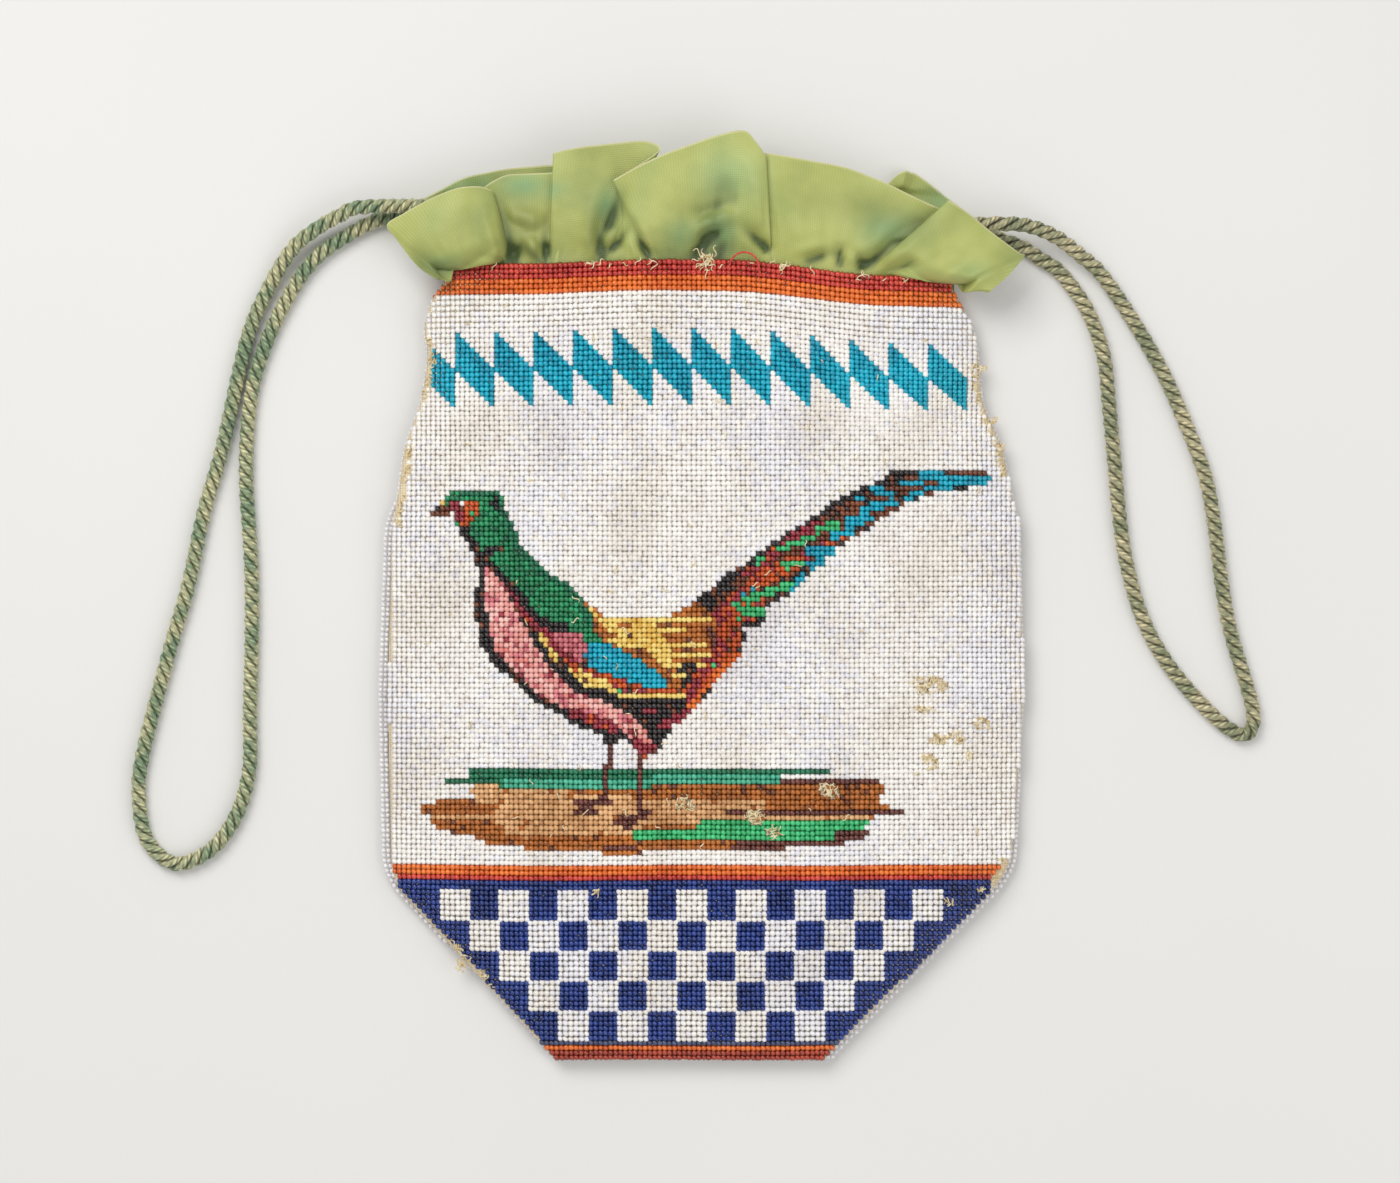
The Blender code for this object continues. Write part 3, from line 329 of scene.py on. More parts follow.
@dataclass(frozen=True)
class Pouch:
    """The pouch's outline, fullness and cloths, with the same sizes as its solids, in millimetres."""

    mouth_y: float = 104.2
    foot_y: float = -144.3
    dome: float = 11.2
    seam_lift: float = 2.5
    flat_share: float = 0.35
    edge_softness: float = 2.5
    side_squareness: int = 6
    foot_squareness: int = 8
    beadwork: float = 1.4
    canvas: float = 0.8
    clearance: float = 0.3
    left_fall: float = 1.2
    right_fall: float = 4.8
    fall_shares: tuple[float, float] = (0.1, 0.75)
    fall_fade: tuple[float, float] = (45.0, 85.0)
    outline: tuple[tuple[float, ...], ...] = (
        (-144.3, -45.2, 37.5, 0.8, 3.0),
        (-90.5, -95.0, 91.4, 2.0, 3.0),
        (-83.0, -96.6, 96.2, 3.4, 2.4),
        (-30.0, -97.6, 100.2, 3.5, 0.9),
        (22.0, -96.3, 99.0, 3.0, 0.8),
        (31.0, -94.6, 96.6, 1.2, 0.8),
        (46.0, -92.6, 93.8, 0.8, 0.8),
        (61.0, -87.2, 87.2, 0.8, 0.8),
        (76.0, -84.9, 86.0, 0.8, 0.8),
        (84.0, -86.6, 84.4, 0.8, 0.8),
        (91.0, -84.6, 80.6, 0.6, 0.8),
        (95.0, -82.6, 78.4, 0.6, 0.8),
        (99.0, -78.4, 76.4, 0.6, 0.8),
    )

    def column(self, place: int, y: Points) -> Points:
        """Read a column of the outline at y, as the mean of five readings round it."""
        table = np.array(self.outline)
        offsets = np.linspace(-self.edge_softness, self.edge_softness, 5)
        return sum(np.interp(y + offset, table[:, 0], table[:, place]) for offset in offsets) / 5

    def across(self, x: Points, y: Points) -> Points:
        """Give x as a share of the half width at y, from -1 at the left seam to 1 at the right."""
        left, right = self.column(1, y), self.column(2, y)
        return (2 * x - left - right) / (right - left)

    def along(self, share: Points, y: Points) -> Points:
        """Give the x that lies at this share of the half width at y."""
        left, right = self.column(1, y), self.column(2, y)
        return (left + right + share * (right - left)) / 2

    def row_fall(self, share: Points, y: Points) -> Points:
        """Say how far a row has fallen below the place where it crosses the middle.

        The fall grows smoothly between two shares of the width, and fades between two heights.

        Args:
            share: places across, as shares of the half width.
            y: the heights at which the rows cross the middle.

        Returns:
            The fall in millimetres.
        """
        near, far = self.fall_shares
        low, high = self.fall_fade
        at_rim = np.where(np.asarray(share) < 0, self.left_fall, self.right_fall)
        return at_rim * ease((np.abs(share) - near) / (far - near)) * ease((y - low) / (high - low))

    def mouth_at(self, share: Points) -> Points:
        """Give the y of the mouth's edge at this share of the width."""
        return self.mouth_y - self.row_fall(share, self.mouth_y)

    def plumpness(self, x: Points, y: Points) -> Points:
        """Say how full the pouch is: 1 less high powers of the way to the seams and to the foot.

        Args:
            x: places across.
            y: places up.

        Returns:
            From 0 on the seams and the foot to 1 inside.
        """
        share = np.clip(np.abs(self.across(x, y)), 0, 1)
        footward = np.clip((self.mouth_y - y) / (self.mouth_y - self.foot_y), 0, 1)
        return (1 - share**self.side_squareness) * (1 - footward**self.foot_squareness)

    def back_low(self, x: Points, y: Points) -> Points:
        """Give the height of the back beads' underside: on the table, and curling up to the seams."""
        emptiness = 1 - self.plumpness(x, y)
        return self.seam_lift * ease((emptiness - self.flat_share) / (1 - self.flat_share))

    def back_canvas_low(self, x: Points, y: Points) -> Points:
        """Give the height of the back canvas's underside."""
        return self.back_low(x, y) + self.beadwork + self.clearance

    def front_canvas_low(self, x: Points, y: Points) -> Points:
        """Give the height of the front canvas's underside, domed over the hollow."""
        at_seam = self.beadwork + self.canvas + self.seam_lift + 2 * self.clearance
        return at_seam + self.dome * self.plumpness(x, y)

    def front_canvas_top(self, x: Points, y: Points) -> Points:
        """Give the height that the front beads stand on."""
        return self.front_canvas_low(x, y) + self.canvas

    def normal(self, height: Callable[[Points, Points], Points], x: Points, y: Points) -> Points:
        """Give the upward normal of a height function, from its rise over half a millimetre each way.

        Args:
            height: the function of x and y.
            x: places across.
            y: places up.

        Returns:
            One unit vector for each place.
        """
        rise = height(x + 0.5, y) - height(x - 0.5, y)
        climb = height(x, y + 0.5) - height(x, y - 0.5)
        return unit(np.stack([-rise, -climb, np.ones_like(rise)], axis=-1))


POUCH = Pouch()


# Colours and finishes


class Glass(Enum):
    """Colours of the glass beads, each as the sRGB hex of its palest and its darkest beads."""

    WHITE = ("FFFCF6", "EDE6DF")
    COOL_WHITE = ("F9F7F8", "E6E2E5")
    NAVY = ("2C4698", "16265C")
    SLATE = ("565E80", "2E3656")
    TEAL = ("08BAD3", "00829D")
    ORANGE = ("FA8434", "CC500C")
    RED = ("E4503E", "A4221C")
    SCARLET = ("DA4632", "A8281E")
    BRICK = ("BC4A30", "84281C")
    PINK = ("FFD0C6", "DC7068")
    ROSE = ("F09098", "A84A54")
    CRIMSON = ("AE3644", "74202C")
    BLACK = ("342C2C", "181214")
    BROWN = ("CC762A", "8C4C18")
    UMBER = ("844628", "4E2616")
    RUST = ("DC5C1E", "A43C10")
    YELLOW = ("FFEA8C", "E0AC3C")
    TAN = ("F6C48C", "BC8450")
    MAROON = ("7C4236", "4C221C")
    LEAF_GREEN = ("4ED488", "1A9452")
    SEA_GREEN = ("58C4A0", "249070")
    DEEP_GREEN = ("1E8058", "0C4C34")
    GREEN = ("28A468", "0E5E38")


def add(
    tree: bpy.types.NodeTree,
    kind: str,
    settings: dict | None = None,
    links: dict | None = None,
    out: str | int = 0,
) -> bpy.types.NodeSocket | None:
    """Add a shader node with its settings and links.

    Args:
        tree: the material's or world's node tree.
        kind: Blender's name for the node's type, after its "ShaderNode".
        settings: values for its attributes, or for its inputs by name or number. Under "stops" it
            holds a colour ramp's stops, each a place and a hex colour, the ramp's two ends first.
        links: outputs of other nodes, by the name or number of the input that each one feeds.
        out: name or number of the output that is wanted.

    Returns:
        That output of the new node, or nothing where the node has none.
    """
    made = tree.nodes.new("ShaderNode" + kind)
    for name, value in (settings or {}).items():
        if name == "stops":
            stops = made.color_ramp.elements
            for order, (place, colour) in enumerate(value):
                stop = stops[order] if order < len(stops) else stops.new(place)
                stop.color = linear(colour)
                stop.position = place
        elif isinstance(name, str) and hasattr(made, name):
            setattr(made, name, value)
        else:
            made.inputs[name].default_value = value
    for name, output in (links or {}).items():
        tree.links.new(output, made.inputs[name])
    return made.outputs[out] if made.outputs else None


def between(low: float, high: float, to_low: float, to_high: float) -> dict[str, float]:
    """Name the four ends of a map range, from low and high to their two results."""
    return {"From Min": low, "From Max": high, "To Min": to_low, "To Max": to_high}


def waves(way: str, ridges: float, wander: float, detail: float, fineness: float) -> dict[str, str | float]:
    """Name a wave texture's settings.

    Args:
        way: the axis that the ridges follow each other along.
        ridges: ridges in one unit of length. The texture has 20 / (2 pi) of them at a scale of 1.
        wander: how far the ridges stray from straight lines.
        detail: levels of finer straying.
        fineness: scale of that finer straying.

    Returns:
        The settings, ready for add.
    """
    scale = ridges * 2 * math.pi / 20
    finer = {"Detail": detail, "Detail Scale": fineness}
    return {"bands_direction": way, "Scale": scale, "Distortion": wander, **finer}


@dataclass(frozen=True)
class Finish:
    """A material by its name: each kind below builds its own shader, and this lays it on the surface."""

    name: str

    def shader(self, tree: bpy.types.NodeTree) -> bpy.types.NodeSocket:
        """Build the shader, which every kind does in its own way."""
        raise NotImplementedError

    def make(self) -> bpy.types.Material:
        """Build the material from an empty tree, with its shader on the surface."""
        material = bpy.data.materials.new(self.name)
        material.use_nodes = True
        material.node_tree.nodes.clear()
        surface = self.shader(material.node_tree)
        add(material.node_tree, "OutputMaterial", links={"Surface": surface})
        return material


@dataclass(frozen=True)
class SeedBeadGlass(Finish):
    """Pressed and drawn opaque glass: each bead keeps its batch's colour, and a small sharp highlight.

    The eye gets a grid of glints, and dark gaps between the beads from the painted shade on their feet.
    """

    roughness: float = 0.2
    roughness_spread: float = 0.16
    coat: float = 0.35
    grain_mm: float = 0.5
    pit_mm: float = 0.04
    unevenness: float = 0.12

    def shader(self, tree: bpy.types.NodeTree) -> bpy.types.NodeSocket:
        """Build the glass from the beads' own colours, with shallow pits and cloudy streaks."""
        place = add(tree, "TexCoord", out="Object")
        own = add(tree, "Attribute", {"attribute_name": "Glass"}, out="Color")
        grain = {"Scale": 1 / (self.grain_mm * MM), "Detail": 3.0, "Roughness": 0.6}
        cloud = add(tree, "TexNoise", grain, {"Vector": place}, "Fac")
        streaks = between(0.3, 0.7, 1 - self.unevenness, 1 + self.unevenness)
        streak = add(tree, "MapRange", streaks, {"Value": cloud})
        colour = add(tree, "VectorMath", {"operation": "SCALE"}, {0: own, "Scale": streak})
        dulling = between(0.3, 0.7, self.roughness, self.roughness + self.roughness_spread)
        gloss = add(tree, "MapRange", dulling, {"Value": cloud})
        bump = add(tree, "Bump", {"Strength": 0.25, "Distance": self.pit_mm * MM}, {"Height": cloud})
        return add(
            tree,
            "BsdfPrincipled",
            {"IOR": 1.51, "Coat Weight": self.coat, "Coat Roughness": 0.08},
            {"Base Color": colour, "Roughness": gloss, "Normal": bump},
        )


@dataclass(frozen=True)
class LinenCanvas(Finish):
    """Plain-woven linen, aged to tan: the eye gets crossing threads, slubs and painted shade in the weave's
    hollows.
    """

    name: str = "aged_linen_canvas"
    thread_mm: float = 0.77
    slub_mm: float = 6.0
    depth_mm: float = 0.2
    pale: str = "F8EACC"
    dark: str = "D8BC8C"

    def shader(self, tree: bpy.types.NodeTree) -> bpy.types.NodeSocket:
        """Build the weave from two crossed sets of ridges, one over the other in turn."""
        place = add(tree, "TexCoord", out="Object")
        threads = 1 / (self.thread_mm * MM)
        warp, weft = (
            add(tree, "TexWave", waves(way, threads, 1.2, 2.0, 0.6), {"Vector": place}, "Fac")
            for way in ("X", "Y")
        )
        slubs = {"Scale": 1 / (self.slub_mm * MM), "Detail": 5.0, "Roughness": 0.7}
        slub = add(tree, "TexNoise", slubs, {"Vector": place}, "Fac")
        weave = add(tree, "Math", {"operation": "MAXIMUM"}, {0: warp, 1: weft})
        mixed = add(tree, "Math", {"operation": "MULTIPLY"}, {0: weave, 1: slub})
        # Painted shade in the weave's hollows, where both threads are low; the slubs vary the tone
        colour = add(tree, "ValToRGB", {"stops": ((0.1, self.dark), (0.55, self.pale))}, {"Fac": mixed})
        bump = add(tree, "Bump", {"Strength": 0.8, "Distance": self.depth_mm * MM}, {"Height": weave})
        return add(
            tree,
            "BsdfPrincipled",
            {"Roughness": 0.92, "IOR": 1.5, "Sheen Weight": 0.2},
            {"Base Color": colour, "Normal": bump},
        )


@dataclass(frozen=True)
class SilkTaffeta(Finish):
    """Crisp plain-woven silk, unevenly faded: a soft sheen along folds, fine ribs and bluish stains,
    with a blue-green reflection and shade in its folds painted into its colour.

    Its texture map counts centimetres of the flat cloth.
    """

    name: str = "faded_green_silk"
    rib_mm: float = 0.55
    warp_share: float = 0.8
    fade_mm: float = 28.0
    depth_mm: float = 0.12
    pale: str = "C3C774"
    middle: str = "ACB25F"
    deep: str = "84904A"
    # Tint of the stains, which also paints in a blue-green reflection on the silk
    stain_and_reflection: str = "6CA67C"
    # Painted shade: the tint that the folds, the hollows and the shaded patches are darkened towards
    painted_fold_shade: str = "46562A"
    worn_edge: str = "D8D2A0"
    sheen: str = "E8F0C0"

    def shader(self, tree: bpy.types.NodeTree) -> bpy.types.NodeSocket:
        """Build the silk from its own width and length, stains with a painted reflection, a worn edge and
        painted shade.
        """
        cut = add(tree, "UVMap", {"uv_map": "Cut"}, out="UV")
        place = add(tree, "TexCoord", out="Object")
        names = ("StainAndReflection", "Worn", "PaintedShade")
        marks = [add(tree, "Attribute", {"attribute_name": name}, out="Fac") for name in names]
        ribs = 10 / self.rib_mm
        rib = add(tree, "TexWave", waves("Y", ribs, 0.8, 1.0, 0.3), {"Vector": cut}, "Fac")
        warps = waves("X", ribs, 0.8, 1.0, 0.3)
        warps["Scale"] *= self.warp_share
        warp = add(tree, "TexWave", warps, {"Vector": cut}, "Fac")
        uneven = {"Scale": 0.9, "Detail": 6.0, "Roughness": 0.65}
        slub = add(tree, "TexNoise", uneven, {"Vector": cut}, "Fac")
        fading = {"Scale": 1 / (self.fade_mm * MM), "Detail": 3.0, "Roughness": 0.55}
        fade = add(tree, "TexNoise", fading, {"Vector": place}, "Fac")
        stops = ((0.22, self.deep), (0.72, self.pale), (0.48, self.middle))
        colour = add(tree, "ValToRGB", {"stops": stops}, {"Fac": fade})
        # Each value mixes in its tint: stains with a painted reflection, the worn edge, and painted shade
        for mark, tint in zip(marks, (self.stain_and_reflection, self.worn_edge, self.painted_fold_shade)):
            colour = add(tree, "Mix", {"data_type": "RGBA", 7: linear(tint)}, {0: mark, 6: colour}, 2)
        threads = add(tree, "Math", {"operation": "ADD"}, {0: rib, 1: warp})
        lines = add(tree, "MapRange", between(0.0, 2.0, 0.9, 1.08), {"Value": threads})
        lined = add(tree, "VectorMath", {"operation": "SCALE"}, {0: colour, "Scale": lines})
        height = add(tree, "Math", {"operation": "ADD"}, {0: threads, 1: slub})
        bump = add(tree, "Bump", {"Strength": 0.35, "Distance": self.depth_mm * MM}, {"Height": height})
        lustre = {"Sheen Weight": 0.35, "Sheen Roughness": 0.4, "Sheen Tint": linear(self.sheen)}
        return add(
            tree,
            "BsdfPrincipled",
            {"Roughness": 0.52, "IOR": 1.54, **lustre},
            {"Base Color": lined, "Normal": bump},
        )


@dataclass(frozen=True)
class GimpCord(Finish):
    """Silk gimp: yarn wound round each strand, so every strand shows fine rings, painted lighter and
    darker, with painted shade in the grooves between strands.

    Its texture map counts centimetres along and round each strand.
    """

    pale: str
    middle: str
    dark: str
    wind_mm: float = 0.9
    soil_mm: float = 8.0
    depth_mm: float = 0.15

    def shader(self, tree: bpy.types.NodeTree) -> bpy.types.NodeSocket:
        """Build the winding from rings painted lighter and darker along each strand, and paint shade into
        the grooves.
        """
        lay = add(tree, "UVMap", {"uv_map": "Lay"}, out="UV")
        place = add(tree, "TexCoord", out="Object")
        proud = add(tree, "Attribute", {"attribute_name": "Proud"}, out="Fac")
        winding = waves("DIAGONAL", 10 / self.wind_mm, 1.2, 1.0, 0.8)
        wound = add(tree, "TexWave", winding, {"Vector": lay}, "Fac")
        soiling = {"Scale": 1 / (self.soil_mm * MM), "Detail": 4.0, "Roughness": 0.7}
        soil = add(tree, "TexNoise", soiling, {"Vector": place}, "Fac")
        yarn = add(tree, "ValToRGB", {"stops": ((0.4, self.middle), (0.6, self.pale))}, {"Fac": soil})
        # Painted light and shade: the colour rises and falls with the winding's ridges
        rings = add(tree, "MapRange", between(0.1, 0.9, 0.5, 1.22), {"Value": wound})
        ringed = add(tree, "VectorMath", {"operation": "SCALE"}, {0: yarn, "Scale": rings})
        # Painted shade: where Proud is low, in the grooves between strands, the colour goes to the dark
        # tint
        colour = add(tree, "Mix", {"data_type": "RGBA", 6: linear(self.dark)}, {0: proud, 7: ringed}, 2)
        bump = add(tree, "Bump", {"Strength": 0.6, "Distance": self.depth_mm * MM}, {"Height": wound})
        return add(
            tree,
            "BsdfPrincipled",
            {"Roughness": 0.5, "IOR": 1.54, "Sheen Weight": 0.25, "Sheen Roughness": 0.4},
            {"Base Color": colour, "Normal": bump},
        )


@dataclass(frozen=True)
class SewingThread(Finish):
    """Loose cotton or silk thread: matt, fuzzy and slightly streaked along its length."""

    pale: str
    dark: str
    streak_mm: float = 1.5
    depth_mm: float = 0.1

    def shader(self, tree: bpy.types.NodeTree) -> bpy.types.NodeSocket:
        """Build the thread from one cloudy mix of its two colours."""
        place = add(tree, "TexCoord", out="Object")
        streaks = {"Scale": 1 / (self.streak_mm * MM), "Detail": 3.0}
        cloud = add(tree, "TexNoise", streaks, {"Vector": place}, "Fac")
        colour = add(tree, "ValToRGB", {"stops": ((0.35, self.dark), (0.6, self.pale))}, {"Fac": cloud})
        bump = add(tree, "Bump", {"Strength": 0.5, "Distance": self.depth_mm * MM}, {"Height": cloud})
        return add(
            tree,
            "BsdfPrincipled",
            {"Roughness": 0.85, "IOR": 1.5, "Sheen Weight": 0.3},
            {"Base Color": colour, "Normal": bump},
        )


@dataclass(frozen=True)
class PaintedBoard(Finish):
    """Matt painted board: an even pale ground for the bag, with the faintest mottling."""

    name: str = "painted_board"
    pale: str = "E9E7E3"
    dark: str = "E4E2DE"

    def shader(self, tree: bpy.types.NodeTree) -> bpy.types.NodeSocket:
        """Build the paint from one broad cloudy mix of its two colours."""
        place = add(tree, "TexCoord", out="Object")
        cloud = add(tree, "TexNoise", {"Scale": 6.0, "Detail": 2.0}, {"Vector": place}, "Fac")
        colour = add(tree, "ValToRGB", {"stops": ((0.0, self.dark), (1.0, self.pale))}, {"Fac": cloud})
        return add(tree, "BsdfPrincipled", {"Roughness": 0.8}, {"Base Color": colour})


def mount(
    piece: bpy.types.Object, material: bpy.types.Material, node: str = ""
) -> bpy.types.Object:
    """Give a piece its material and set it on the bag's only body.

    Args:
        piece: the object.
        material: what it is made of.
        node: the solid that the piece stands for, if it stands for one.

    Returns:
        The same piece.
    """
    piece.data.materials.append(material)
    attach(piece, BODY)
    if node:
        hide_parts(node)
    return piece


# The chart of the front


@dataclass(frozen=True)
class Figure:
    """One shape on the bead chart: a filled outline, or a line of this width where it has one."""

    glass: Glass
    points: tuple[tuple[float, float], ...]
    width: float = 0.0
    line_shift: float = 0.25
    line_slack: float = 0.1
    nudge: float = 0.01

    def covers(self, column: Points, row: Points) -> Points:
        """Say which beads the shape covers.

        A filled shape covers a bead whose middle crosses its outline an odd number of times to the
        right. A line covers a bead whose middle is within half its width.

        Args:
            column: the beads' places across, in beads.
            row: their places up, in beads.

        Returns:
            True for each bead that is covered.
        """
        x1, y1 = np.array(self.points, float).T[:, :, None]
        if self.width:
            x1, y1 = x1 + self.line_shift, y1 + self.line_shift
            x2, y2 = (x1[1:], y1[1:]) if len(x1) > 1 else (x1, y1)
            x1, y1 = x1[:len(x2)], y1[:len(y2)]
            square = np.maximum((x2 - x1) ** 2 + (y2 - y1) ** 2, 1e-9)
            share = np.clip(((column - x1) * (x2 - x1) + (row - y1) * (y2 - y1)) / square, 0, 1)
            away = np.hypot(column - x1 - share * (x2 - x1), row - y1 - share * (y2 - y1))
            return (away <= self.width / 2 + self.line_slack).any(axis=0)
        x2, y2 = np.roll(x1, -1, axis=0), np.roll(y1, -1, axis=0)
        spans = (y1 > row + self.nudge) != (y2 > row + self.nudge)
        climb = np.where(y2 == y1, 1.0, y2 - y1)
        crossing = x1 + (row + self.nudge - y1) * (x2 - x1) / climb
        return ((column + self.nudge < crossing) & spans).sum(axis=0) % 2 == 1


def strokes(glass: Glass, width: float, *lines: tuple[tuple[float, float], ...]) -> tuple[Figure, ...]:
    """Make several lines of one glass and one width."""
    return tuple(Figure(glass, points, width) for points in lines)


